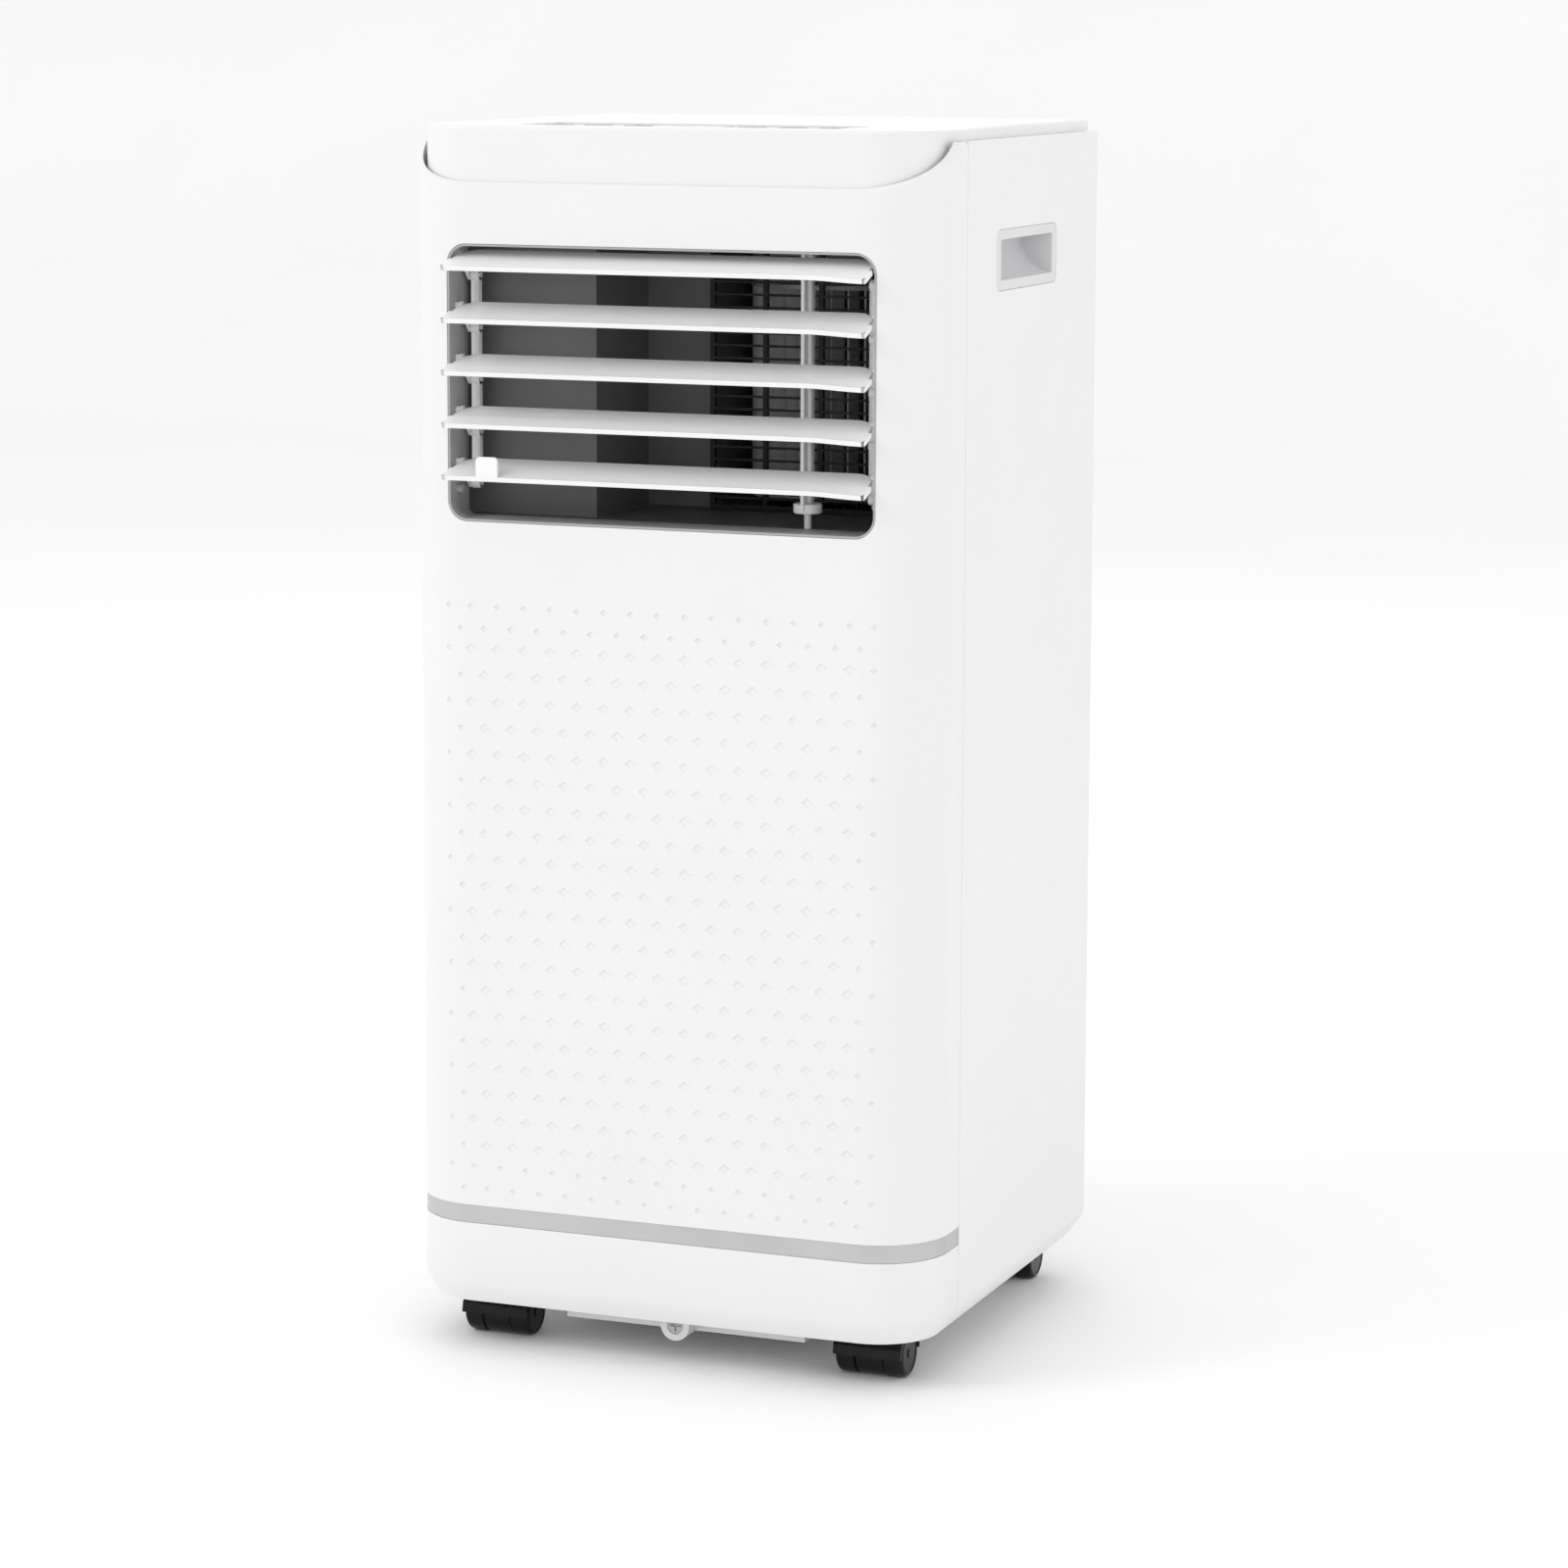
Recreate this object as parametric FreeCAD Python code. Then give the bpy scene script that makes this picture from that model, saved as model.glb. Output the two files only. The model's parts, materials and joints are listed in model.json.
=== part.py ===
"""Portable room air conditioner on four twin-wheel casters, built as separate named pieces.

Frame: millimetres, +Z up, the floor at Z = 0, the louvers facing -Y, the exhaust facing +Y.
The origin is the centre of the overall footprint on the floor.
"""
import FreeCAD, Part
import math
import os

Vector = FreeCAD.Vector
ALONG_X = Vector(1, 0, 0)
ALONG_Y = Vector(0, 1, 0)
ALONG_Z = Vector(0, 0, 1)

# Overall sizes
width = 317.5
depth = 304.8
height = 698.5
slat_reach = 12.0
collar_stand = 2.8
front_y = -depth / 2 + slat_reach
rear_y = depth / 2 - collar_stand

# Casing shell
wall = 2.5
corner_radius = 41.0
cover_depth = 59.0
seam_gap = 0.5
seam_y = front_y + cover_depth
side_step = 6.8
side_top = height - side_step
skirt_z = 28.0
crease_z = 39.5
skirt_inset = 6.0
heel_radius = 18.0
lap_width = 8.0
lap_wall = 1.5
fit_gap = 0.3
inner_x = width / 2 - wall

# Swept upper rim of the front cover
rim_drop = 31.0
rim_z = height - rim_drop
rim_flat_half = 112.0

# Silver trim strip
trim_z = 75.5
trim_height = 10.5
trim_groove = 1.2
trim_sink = 0.3

# Louver opening
opening_width = 255.0
opening_height = 154.8
opening_drop = 65.2
opening_radius = 12.0
opening_top = height - opening_drop
opening_bottom = opening_top - opening_height
frame_gap = 0.2
frame_wall = 1.2
frame_depth = 26.0
frame_flange = 8.0
frame_flange_wall = 1.5
frame_sink = 0.4
frame_nose = 6.4
frame_rear_corner = 4.0
frame_inner_x = opening_width / 2 - frame_gap - frame_wall
frame_inner_top = opening_top - frame_gap - frame_wall
frame_inner_bottom = opening_bottom + frame_gap + frame_wall
frame_rear_y = front_y + frame_depth

# Louver slats and their linkage
slat_count = 5
slat_pitch = 29.1
slat_top_drop = 6.1
slat_tilt = 17.5
slat_pivot_setback = 10.9
slat_tail = 4.2
slat_front_wall = 2.8
slat_rear_wall = 1.8
slat_side_gap = 0.7
slat_step = 2.0
slat_corner = 12.0
slat_pin_radius = 2.0
slat_pin_length = 4.0
pivot_boss_radius = 4.5
pivot_boss_reach = 3.2
pin_clearance = 0.05
lug_back = 11.0
lug_down = 12.5
lug_wall = 2.2
lug_radius = 3.0
lug_gap = 1.4
link_pin_radius = 1.5
tie_width = 5.0
tie_depth = 4.0
tie_eye_radius = 3.2
tie_gap = 0.4
tab_x = -98.0
tab_width = 13.4
tab_height = 12.5
tab_wall = 2.4
stop_radius = 2.2
stop_length = 3.5
stop_drop = 15.3
slat_pivot_y = front_y + slat_pivot_setback
slat_half = frame_inner_x - slat_side_gap
slat_top_z = opening_top - slat_top_drop

# Vertical air vane
vane_x = 77.5
vane_pivot_back = 3.2
vane_front = 9.5
vane_rear = 7.5
vane_wall = 2.2
vane_pin_radius = 2.0
vane_pin_length = 2.0
vane_gap = 0.6
vane_disc_radius = 8.0
vane_disc_wall = 5.5
vane_disc_rise = 8.5
vane_y = frame_rear_y + vane_pivot_back

# Air duct, guard and blower
duct_wall = 2.2
duct_floor = frame_inner_bottom
duct_top = frame_inner_top
duct_step_x = -51.5
duct_step_setback = 9.0
duct_back_y = front_y + 109.4
guard_left_x = -9.0
guard_y = front_y + 98.4
guard_wall = 3.0
guard_bar = 1.4
guard_bars = 20
guard_ribs = 3
guard_rim = 3.0
blower_front_gap = 3.0
blower_near_gap = 5.0
blower_far_gap = 18.1
blower_radius = (frame_inner_x - guard_left_x - blower_near_gap - blower_far_gap) / 2
blower_x = guard_left_x + blower_near_gap + blower_radius
blower_y = guard_y + guard_wall + blower_front_gap + blower_radius
blower_gap = 6.0
blower_blades = 36
blower_hub_radius = 12.0
blower_inlet_radius = 38.0
blade_wall = 1.2
blade_depth = 11.0
ring_wall = 2.5
blade_lean = 35.0
blade_sink = 1.0
blower_hub_depth = 20.0
shaft_grip = 8.0
scroll_room = 14.0
shaft_radius = 3.0
blower_motor_radius = 34.0
blower_motor_height = 40.0
motor_boss_radius = 9.0
motor_boss_height = 8.0
motor_round = 4.0
motor_bore_share = 0.7

# Deck, evaporator and electrical box
deck_drop = 40.5
deck_z = opening_bottom - deck_drop
deck_wall = 3.0
deck_rim = 9.0
deck_margin = 24.0
coil_margin = 40.75
evaporator_half = width / 2 - coil_margin
evaporator_depth = 26.0
evaporator_top_drop = 48.5
evaporator_y = rear_y - 51.6
coil_end_wall = 2.0
coil_end_side = 1.0
coil_end_rise = 2.0
bend_radius = 10.0
bend_tube = 3.5
bend_count = 7
box_margin = 5.0
box_corner = 4.0

# Rear intake cartridge
rear_sink = 2.0
rear_face_y = rear_y - rear_sink
rear_inner_y = rear_face_y - wall
rear_bottom = crease_z
intake_width = 240.0
intake_height = 200.0
intake_top_drop = 46.5
intake_depth = 18.0
intake_wall = 3.0
intake_gap = 0.4
intake_bars = 24
intake_bar = 3.2
intake_bar_depth = 3.0
intake_ribs = 3
intake_rib = 3.0
intake_rib_depth = 5.0
filter_wall = 1.0
filter_setback = 8.0
sleeve_wall = 2.0
intake_top = height - intake_top_drop
intake_bottom = intake_top - intake_height

# Lower intake slots
slot_rows = 16
slot_pitch = 10.0
slot_height = 5.0
slot_columns = 4
slot_width = 52.0
slot_gap = 8.0
slot_bottom = 98.0

# Exhaust collar and condenser air path
collar_bore = 65.0
collar_wall = 3.0
collar_flange = 8.0
collar_flange_wall = 2.0
collar_deck_gap = 2.0
collar_drop = collar_bore + collar_wall + collar_flange + collar_deck_gap
collar_z = deck_z - collar_drop
condenser_half = width / 2 - coil_margin
condenser_bottom = 85.0
condenser_top_gap = 9.0
condenser_height = (collar_z - collar_bore - collar_wall - collar_flange
                    - condenser_top_gap - condenser_bottom)
condenser_depth = 24.0
condenser_y = rear_y - 41.6
scroll_depth = 47.0
scroll_rear_y = condenser_y - 5.0
scroll_front_y = scroll_rear_y - scroll_depth
scroll_radius = 82.0
neck_room = 7.0
neck_half = collar_bore + neck_room
fan_x = 8.0
fan_z = 190.0
fan_radius = 58.0
fan_blades = 30
fan_gap = 5.0
fan_inlet_radius = 44.0
fan_hub_depth = 14.0
fan_shaft_reach = 14.0
fan_motor_radius = 30.0
fan_motor_length = 36.0

# Compressor and refrigerant pipes
compressor_x = -85.0
compressor_y = -20.0
compressor_radius = 48.0
compressor_height = 190.0
compressor_dome = 20.0
leg_circle = 40.0
leg_radius = 6.0
leg_pad = 2.0
compressor_lift = 6.0
foot_reach = 4.0
foot_wall = 3.0
strap_width = 10.0
strap_height = 14.0
strap_share = 0.6
accumulator_offset = 72.0
accumulator_radius = 17.0
accumulator_height = 110.0
accumulator_base = 60.0
compressor_angles = (30, 150, 270)
discharge_rise = 40.0
suction_rise = 80.0
pipe_out = 22.0
pipe_drop = 20.0
pipe_radius = 4.0
pipe_bend = 14.0

# Base tray, drain and rear port
tray_wall = 2.5
tray_z = 34.0
tray_rim_top = 62.0
tray_rim_wall = 3.0
sump_half = 73.5
sump_bottom = 14.5
sump_setback = 40.0
drain_radius = 8.7
drain_bore = 5.0
drain_z = 20.4
drain_length = 15.0
port_x = -100.0
port_z = 52.0
port_radius = 9.0
port_bore = 6.0
plug_recess = 1.0
plug_cross_depth = 1.5
plug_cross_half = 0.7
port_plug_length = 9.0
port_plug_stand = 2.0
port_plug_gap = 0.1

# Casters
caster_x = width / 2 - 43.75
caster_front_y = front_y + 37.0
caster_rear_y = rear_y - 26.6
caster_trail = 8.0
wheel_radius = 13.5
wheel_inner = 8.8
wheel_outer = 20.3
hood_half = 8.3
hood_disc_radius = 11.0
fender_gap = 0.8
fender_wall = 1.7
axle_radius = 2.5
stem_radius = 4.0
stem_length = 18.0
socket_radius = 9.0
collar_radius = 8.0
wheel_round = 1.2
wheel_dish_share = 0.62
wheel_dish_depth = 1.5

# Top lid and controls
lid_side_inset = 6.0
lid_front_gap = 0.1
lid_corner = 36.0
lid_wall = 2.5
lid_skirt = 38.0
lid_edge = 2.0
panel_width = 190.0
panel_depth = 58.0
panel_setback = 25.0
panel_ledge = 4.0
panel_wall = 1.2
panel_sink = 0.7
display_width = 40.0
display_depth = 24.0
display_wall = 1.6
key_width = 15.0
key_depth = 10.0
key_radius = 3.0
key_rise = 0.6
key_gap = 0.4
key_first_x = 34.0
key_pitch = 24.0
key_flange = 1.5
key_flange_wall = 1.0
key_stem_radius = 1.5
key_travel = 0.8
key_sink = 0.3
key_stem_gap = 0.6
switch_half = 3.0
switch_height = 2.5
board_gap = 2.0
display_rise = 0.2
board_wall = 1.6
board_drop = 9.0
post_radius = 2.5
post_inset = 10.0
panel_top = height - panel_sink
panel_y = front_y + panel_setback + panel_depth / 2

# Side grips
grip_centre_y = front_y + 161.45
grip_drop = 74.0
grip_width = 90.3
grip_height = 22.8
grip_depth = 19.0
grip_rim_width = 106.3
grip_rim_height = 34.0
grip_rim_wall = 1.0
grip_rim_corner = 6.0
grip_wall = 2.0
grip_shelf = 6.0
grip_bow_depth_share = 0.16
grip_bow_drop_share = 0.5
grip_z = height - grip_drop

# Screws and cord gland
screw_head_radius = 3.5
screw_head_height = 1.8
screw_radius = 1.75
screw_length = 8.0
screw_rows = 4
screw_inset = 20.0
screw_cross_floor = 0.9
screw_cross_half = 0.5
screw_cross_share = 0.6
flange_reach = 13.0
flange_wall = 2.5
gland_x = 125.0
gland_z = 75.0
gland_radius = 9.0
gland_bore = 4.0
gland_stand = 2.5
gland_flange = 2.5
gland_tail = 6.0

CUT_PAST = 1.0
CUT_LENGTH = 40.0


def box(x0, x1, y0, y1, z0, z1):
    """Return a block between two corners."""
    return Part.makeBox(x1 - x0, y1 - y0, z1 - z0, Vector(x0, y0, z0))


def rod(radius, length, x, y, z, axis):
    """Return a cylinder that starts at a point and runs along an axis."""
    return Part.makeCylinder(radius, length, Vector(x, y, z), axis)


def prism(points, sweep):
    """Return the solid swept from a flat polygon."""
    corners = [Vector(*point) for point in points]
    corners.append(corners[0])
    return Part.Face(Part.makePolygon(corners)).extrude(sweep)


def fuse(shapes):
    """Return one solid made from touching shapes."""
    return shapes[0].multiFuse(shapes[1:]).removeSplitter()


def rounded_block(x0, x1, y0, y1, z0, z1, radius, axis):
    """Return a block whose four edges along an axis are rounded."""
    block = box(x0, x1, y0, y1, z0, z1)
    edges = [edge for edge in block.Edges if abs(edge.tangentAt(edge.FirstParameter).dot(axis)) > 0.9]
    return block.makeFillet(radius, edges)


def body_wire(inset, z, rear):
    """Return the casing outline: square at the rear, rounded at the two front corners."""
    half = width / 2 - inset
    front = front_y + inset
    radius = corner_radius - inset
    slope = radius * math.sqrt(0.5)
    near = Vector(half - radius, front, z)
    far = Vector(half, front + radius, z)
    middle = Vector(half - radius + slope, front + radius - slope, z)
    flip = lambda point: Vector(-point.x, point.y, z)
    edges = [
        Part.LineSegment(flip(near), near).toShape(),
        Part.Arc(near, middle, far).toShape(),
        Part.LineSegment(far, Vector(half, rear, z)).toShape(),
        Part.LineSegment(Vector(half, rear, z), Vector(-half, rear, z)).toShape(),
        Part.LineSegment(Vector(-half, rear, z), flip(far)).toShape(),
        Part.Arc(flip(far), flip(middle), flip(near)).toShape(),
    ]
    return Part.Wire(edges)


def body_slab(inset, z0, z1, rear):
    """Return the casing outline swept upwards."""
    return Part.Face(body_wire(inset, z0, rear)).extrude(ALONG_Z * (z1 - z0))


def body_form(inset, z_top, rear):
    """Return the full casing form with its tapered skirt."""
    upper = body_slab(inset, crease_z, z_top, rear)
    wires = [body_wire(inset + skirt_inset, skirt_z, rear), body_wire(inset, crease_z, rear)]
    return upper.fuse(Part.makeLoft(wires, True, True))


def casing_shell():
    """Return the casing walls, open at the top, bottom and rear."""
    outer = body_form(0.0, side_top, rear_y)
    inner = body_form(wall, side_top + CUT_PAST, rear_y + CUT_PAST)
    foot = body_slab(wall + skirt_inset, skirt_z - CUT_PAST, skirt_z, rear_y + CUT_PAST)
    return outer.cut(inner).cut(foot)


def rim_cutter():
    """Return the space above the swept rim of the front cover."""
    corner_x = width / 2 - corner_radius
    run = corner_x - rim_flat_half + corner_radius * math.pi / 2
    rise = side_top - rim_z
    sweep_radius = (run * run + rise * rise) / (2 * rise)
    steps = 8
    points = []
    for step in range(steps + 1):
        along = run * step / steps
        past = along - (corner_x - rim_flat_half)
        x = rim_flat_half + along if past < 0 else corner_x + corner_radius * math.sin(past / corner_radius)
        z = rim_z + sweep_radius - math.sqrt(sweep_radius * sweep_radius - along * along)
        points.append(Vector(x, seam_y, z))
    curve = Part.BSplineCurve()
    curve.interpolate(points)
    right = curve.toShape()
    left = right.mirror(Vector(0, 0, 0), ALONG_X)
    high = side_top + CUT_PAST
    end = points[-1]
    start = points[0]
    flip = lambda point: Vector(-point.x, point.y, point.z)
    frame = [
        Part.LineSegment(flip(start), start).toShape(),
        right,
        Part.LineSegment(end, Vector(end.x, seam_y, high)).toShape(),
        Part.LineSegment(Vector(end.x, seam_y, high), Vector(-end.x, seam_y, high)).toShape(),
        Part.LineSegment(Vector(-end.x, seam_y, high), flip(end)).toShape(),
        left,
    ]
    wire = Part.Wire(Part.__sortEdges__(frame))
    return Part.Face(wire).extrude(ALONG_Y * -(cover_depth + CUT_PAST))


def trim_ring(outer, inner, z0, z1, rear):
    """Return a strip that follows the front of the casing between two insets."""
    slab = body_slab(outer, z0, z1, rear_y)
    core = body_slab(inner, z0 - CUT_PAST, z1 + CUT_PAST, rear_y + CUT_PAST)
    return slab.cut(core).common(box(-width, width, -depth, rear, 0, height))


def opening_block(grow, y0, y1):
    """Return the louver opening, grown on every side, as a rounded block."""
    half = opening_width / 2 + grow
    low = opening_bottom - grow
    high = opening_top + grow
    return rounded_block(-half, half, y0, y1, low, high, opening_radius + grow, ALONG_Y)


def front_cover(shell):
    """Return the moulded front cover with its louver opening, trim groove and swept rim."""
    cover = shell.common(box(-width, width, -depth, seam_y - seam_gap / 2, 0, height))
    cover = cover.cut(opening_block(0.0, front_y - CUT_PAST, frame_rear_y))
    groove = trim_ring(-CUT_PAST, trim_groove, trim_z, trim_z + trim_height, seam_y)
    return cover.cut(groove).cut(rim_cutter())


def trim_strip():
    """Return the silver strip that fills the groove of the front cover."""
    low = trim_z + fit_gap / 2
    high = trim_z + trim_height - fit_gap / 2
    return trim_ring(trim_sink, trim_groove, low, high, seam_y - seam_gap)


def grip_opening(side, grow, x_in, x_out):
    """Return the rounded outline of the grip rim as a block through the side panel."""
    half = grip_rim_width / 2 + grow
    rise = grip_rim_height / 2 + grow
    low_x = min(side * x_in, side * x_out)
    high_x = max(side * x_in, side * x_out)
    y0 = grip_centre_y - half
    y1 = grip_centre_y + half
    return rounded_block(low_x, high_x, y0, y1, grip_z - rise, grip_z + rise, grip_rim_corner, ALONG_X)


def grip_pocket(side, grow, x_out):
    """Return the finger pocket: a flat shelf above and a floor that curves out to the lower lip."""
    top = grip_z + grip_height / 2 + grow
    low = grip_z - grip_height / 2 - grow
    deep = width / 2 - grip_depth - grow
    shelf = top - grip_shelf - grow
    bow_x = (deep + x_out) / 2 - grip_depth * grip_bow_depth_share
    bow_z = (shelf + low) / 2 - grip_shelf * grip_bow_drop_share
    y = grip_centre_y - grip_width / 2 - grow
    point = lambda x, z: Vector(side * x, y, z)
    edges = [
        Part.LineSegment(point(x_out, top), point(deep, top)).toShape(),
        Part.LineSegment(point(deep, top), point(deep, shelf)).toShape(),
        Part.Arc(point(deep, shelf), point(bow_x, bow_z), point(x_out, low)).toShape(),
        Part.LineSegment(point(x_out, low), point(x_out, top)).toShape(),
    ]
    return Part.Face(Part.Wire(edges)).extrude(ALONG_Y * (grip_width + 2 * grow))


def side_panel(shell, side):
    """Return one flat side panel with its top ledge, seam lap and rear flange."""
    inside = inner_x - skirt_inset - CUT_PAST
    low_x, high_x = sorted((side * inside, side * width))
    panel = shell.common(box(low_x, high_x, seam_y + seam_gap / 2, rear_y, 0, height))
    ledge_in = width / 2 - lid_side_inset + fit_gap
    x0, x1 = sorted((side * ledge_in, side * inner_x))
    ledge = box(x0, x1, seam_y + seam_gap / 2, rear_y, side_top - wall, side_top)
    x0, x1 = sorted((side * (inner_x - lap_wall), side * inner_x))
    lap = box(x0, x1, seam_y - lap_width, seam_y + lap_width, tray_rim_top + CUT_PAST, side_top - wall)
    x0, x1 = sorted((side * (inner_x - flange_reach), side * inner_x))
    flange = box(x0, x1, rear_inner_y - flange_wall, rear_inner_y, tray_rim_top + CUT_PAST, side_top - wall)
    panel = fuse([panel, ledge, lap, flange])
    heel = box(-width, width, rear_y - heel_radius, rear_y + CUT_PAST, 0, skirt_z + heel_radius)
    heel_pin = rod(heel_radius, 2 * width, -width, rear_y - heel_radius, skirt_z + heel_radius, ALONG_X)
    panel = panel.cut(heel.cut(heel_pin))
    panel = panel.cut(grip_opening(side, fit_gap / 2, width / 2 - grip_rim_wall, width / 2 + CUT_PAST))
    half = grip_width / 2 + grip_wall + fit_gap
    rise = grip_height / 2 + grip_wall + fit_gap
    hole = box(low_x, high_x, grip_centre_y - half, grip_centre_y + half, grip_z - rise, grip_z + rise)
    panel = panel.cut(hole)
    return panel.cut(screw_holes(screw_radius + pin_clearance))


def grip_cup(side):
    """Return the moulded grip cup with its thin rim."""
    rim = grip_opening(side, 0.0, width / 2 - grip_rim_wall, width / 2)
    pocket = grip_pocket(side, grip_wall, width / 2 - grip_rim_wall)
    hollow = grip_pocket(side, 0.0, width / 2 + CUT_PAST)
    return rim.fuse(pocket).cut(hollow)


def screw_places():
    """Return the rear fastener places as (x, z) pairs."""
    reach = inner_x - flange_reach / 2
    low = tray_rim_top + screw_inset
    high = height - lid_skirt - screw_inset
    places = []
    for row in range(screw_rows):
        z = low + (high - low) * row / (screw_rows - 1)
        places.extend([(-reach, z), (reach, z)])
    return places


def screw_holes(radius):
    """Return rods through the rear panel at every fastener place."""
    length = wall + flange_wall + 2 * CUT_PAST
    start = rear_inner_y - flange_wall - CUT_PAST
    return Part.makeCompound([rod(radius, length, x, start, z, ALONG_Y) for x, z in screw_places()])


def screws():
    """Return all rear fasteners as separate solids."""
    solids = []
    for x, z in screw_places():
        shank = rod(screw_radius, screw_length, x, rear_face_y - screw_length, z, ALONG_Y)
        head = rod(screw_head_radius, screw_head_height, x, rear_face_y, z, ALONG_Y)
        arm = screw_head_radius * screw_cross_share
        half = screw_cross_half
        floor = rear_face_y + screw_cross_floor
        cross = box(x - arm, x + arm, floor, rear_y, z - half, z + half)
        upright = box(x - half, x + half, floor, rear_y, z - arm, z + arm)
        solids.append(shank.fuse(head).cut(cross).cut(upright))
    return Part.makeCompound(solids)


def rear_panel():
    """Return the rear panel with the cartridge sleeve, lower slots and round openings."""
    side = inner_x - fit_gap
    top = side_top - wall - fit_gap
    panel = box(-side, side, rear_inner_y, rear_face_y, rear_bottom, top)
    half = intake_width / 2 + intake_gap
    low = intake_bottom - intake_gap
    high = intake_top + intake_gap
    sleeve_front = rear_face_y - intake_depth
    sleeve = box(-half - sleeve_wall, half + sleeve_wall, sleeve_front, rear_inner_y,
                 low - sleeve_wall, high + sleeve_wall)
    panel = panel.fuse(sleeve)
    panel = panel.cut(box(-half, half, sleeve_front - CUT_PAST, rear_y, low, high))
    run = slot_columns * slot_width + (slot_columns - 1) * slot_gap
    slots = []
    for row in range(slot_rows):
        z = slot_bottom + row * slot_pitch
        for column in range(slot_columns):
            x = -run / 2 + column * (slot_width + slot_gap)
            slots.append(box(x, x + slot_width, rear_inner_y - CUT_PAST, rear_y, z, z + slot_height))
    panel = panel.cut(Part.makeCompound(slots))
    through = wall + 2 * CUT_PAST
    start = rear_inner_y - CUT_PAST
    panel = panel.cut(rod(collar_bore + collar_wall + fit_gap, through, 0, start, collar_z, ALONG_Y))
    panel = panel.cut(rod(gland_radius, through, gland_x, start, gland_z, ALONG_Y))
    panel = panel.cut(rod(port_radius, through, port_x, start, port_z, ALONG_Y))
    return panel.cut(screw_holes(screw_radius + pin_clearance))


def lid_wire(inset, z, rear):
    """Return the lid outline: inset from the sides and just inside the front cover."""
    half = width / 2 - lid_side_inset - inset
    front = front_y + wall + lid_front_gap + inset
    radius = lid_corner - inset
    slope = radius * math.sqrt(0.5)
    near = Vector(half - radius, front, z)
    far = Vector(half, front + radius, z)
    middle = Vector(half - radius + slope, front + radius - slope, z)
    flip = lambda point: Vector(-point.x, point.y, z)
    edges = [
        Part.LineSegment(flip(near), near).toShape(),
        Part.Arc(near, middle, far).toShape(),
        Part.LineSegment(far, Vector(half, rear, z)).toShape(),
        Part.LineSegment(Vector(half, rear, z), Vector(-half, rear, z)).toShape(),
        Part.LineSegment(Vector(-half, rear, z), flip(far)).toShape(),
        Part.Arc(flip(far), flip(middle), flip(near)).toShape(),
    ]
    return Part.Wire(edges)


def lid_slab(inset, z0, z1, rear):
    """Return the lid outline swept upwards."""
    return Part.Face(lid_wire(inset, z0, rear)).extrude(ALONG_Z * (z1 - z0))


def panel_block(grow, z0, z1):
    """Return the control panel outline as a block."""
    half = panel_width / 2 + grow
    deep = panel_depth / 2 + grow
    return rounded_block(-half, half, panel_y - deep, panel_y + deep, z0, z1, key_radius, ALONG_Z)


def top_lid():
    """Return the lid: a cap over the whole top with a skirt behind the cover rim."""
    cap_low = side_top + fit_gap
    cap = lid_slab(0.0, cap_low, height, rear_y)
    rims = [edge for edge in cap.Edges if edge.BoundBox.ZMin > height - 0.1]
    cap = cap.makeFillet(lid_edge, rims)
    skirt = lid_slab(0.0, height - lid_skirt, cap_low, rear_inner_y - flange_wall - fit_gap)
    hollow_rear = rear_inner_y - flange_wall - fit_gap - lid_wall
    hollow = lid_slab(lid_wall, height - lid_skirt - CUT_PAST, height - lid_wall, hollow_rear)
    lid = cap.fuse(skirt).cut(hollow)
    seat = panel_top - panel_wall
    lid = lid.cut(panel_block(fit_gap, seat, height + CUT_PAST))
    return lid.cut(panel_block(-panel_ledge, height - lid_wall - CUT_PAST, height + CUT_PAST))


def key_places():
    """Return the key centres along X, three on each side of the display."""
    outward = [key_first_x + key_pitch * step for step in range(3)]
    return [-x for x in reversed(outward)] + outward


def key_block(x, grow, z0, z1):
    """Return one rounded key outline as a block."""
    half = key_width / 2 + grow
    deep = key_depth / 2 + grow
    return rounded_block(x - half, x + half, panel_y - deep, panel_y + deep, z0, z1, key_radius, ALONG_Z)


def control_panel():
    """Return the control panel plate with its key holes, display window hole and posts."""
    bottom = panel_top - panel_wall
    plate = panel_block(0.0, bottom, panel_top)
    for x in key_places():
        plate = plate.cut(key_block(x, key_gap, bottom - CUT_PAST, height))
    plate = plate.cut(display_block(fit_gap / 2, bottom - CUT_PAST, height))
    posts = []
    reach = panel_width / 2 - post_inset
    deep = panel_depth / 2 - post_inset
    length = board_drop - panel_wall - board_wall
    for x in (-reach, reach):
        for y in (panel_y - deep, panel_y + deep):
            posts.append(rod(post_radius, length, x, y, bottom - length, ALONG_Z))
    return fuse([plate] + posts)


def display_block(grow, z0, z1):
    """Return the display outline as a block."""
    half = display_width / 2 + grow
    deep = display_depth / 2 + grow
    return rounded_block(-half, half, panel_y - deep, panel_y + deep, z0, z1, key_radius, ALONG_Z)


def display_window():
    """Return the dark display window."""
    return display_block(0.0, panel_top - display_wall, panel_top + display_rise)


def control_key(x):
    """Return one push key with its retaining flange and stem."""
    plate_low = panel_top - panel_wall
    flange_top = plate_low - key_sink
    cap = key_block(x, 0.0, flange_top, panel_top + key_rise)
    flange = key_block(x, key_flange, flange_top - key_flange_wall, flange_top)
    stem_low = panel_top - board_drop + board_wall + key_travel + key_stem_gap
    stem = rod(key_stem_radius, flange_top - stem_low, x, panel_y, stem_low, ALONG_Z)
    return fuse([cap, flange, stem])


def control_board():
    """Return the circuit board with a switch under every key."""
    half = panel_width / 2 - panel_ledge - board_gap
    deep = panel_depth / 2 - panel_ledge - board_gap
    low = panel_top - board_drop
    board = box(-half, half, panel_y - deep, panel_y + deep, low, low + board_wall)
    switches = []
    for x in key_places():
        switches.append(box(x - switch_half, x + switch_half, panel_y - switch_half, panel_y + switch_half,
                            low - switch_height, low))
    return fuse([board] + switches)


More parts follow.
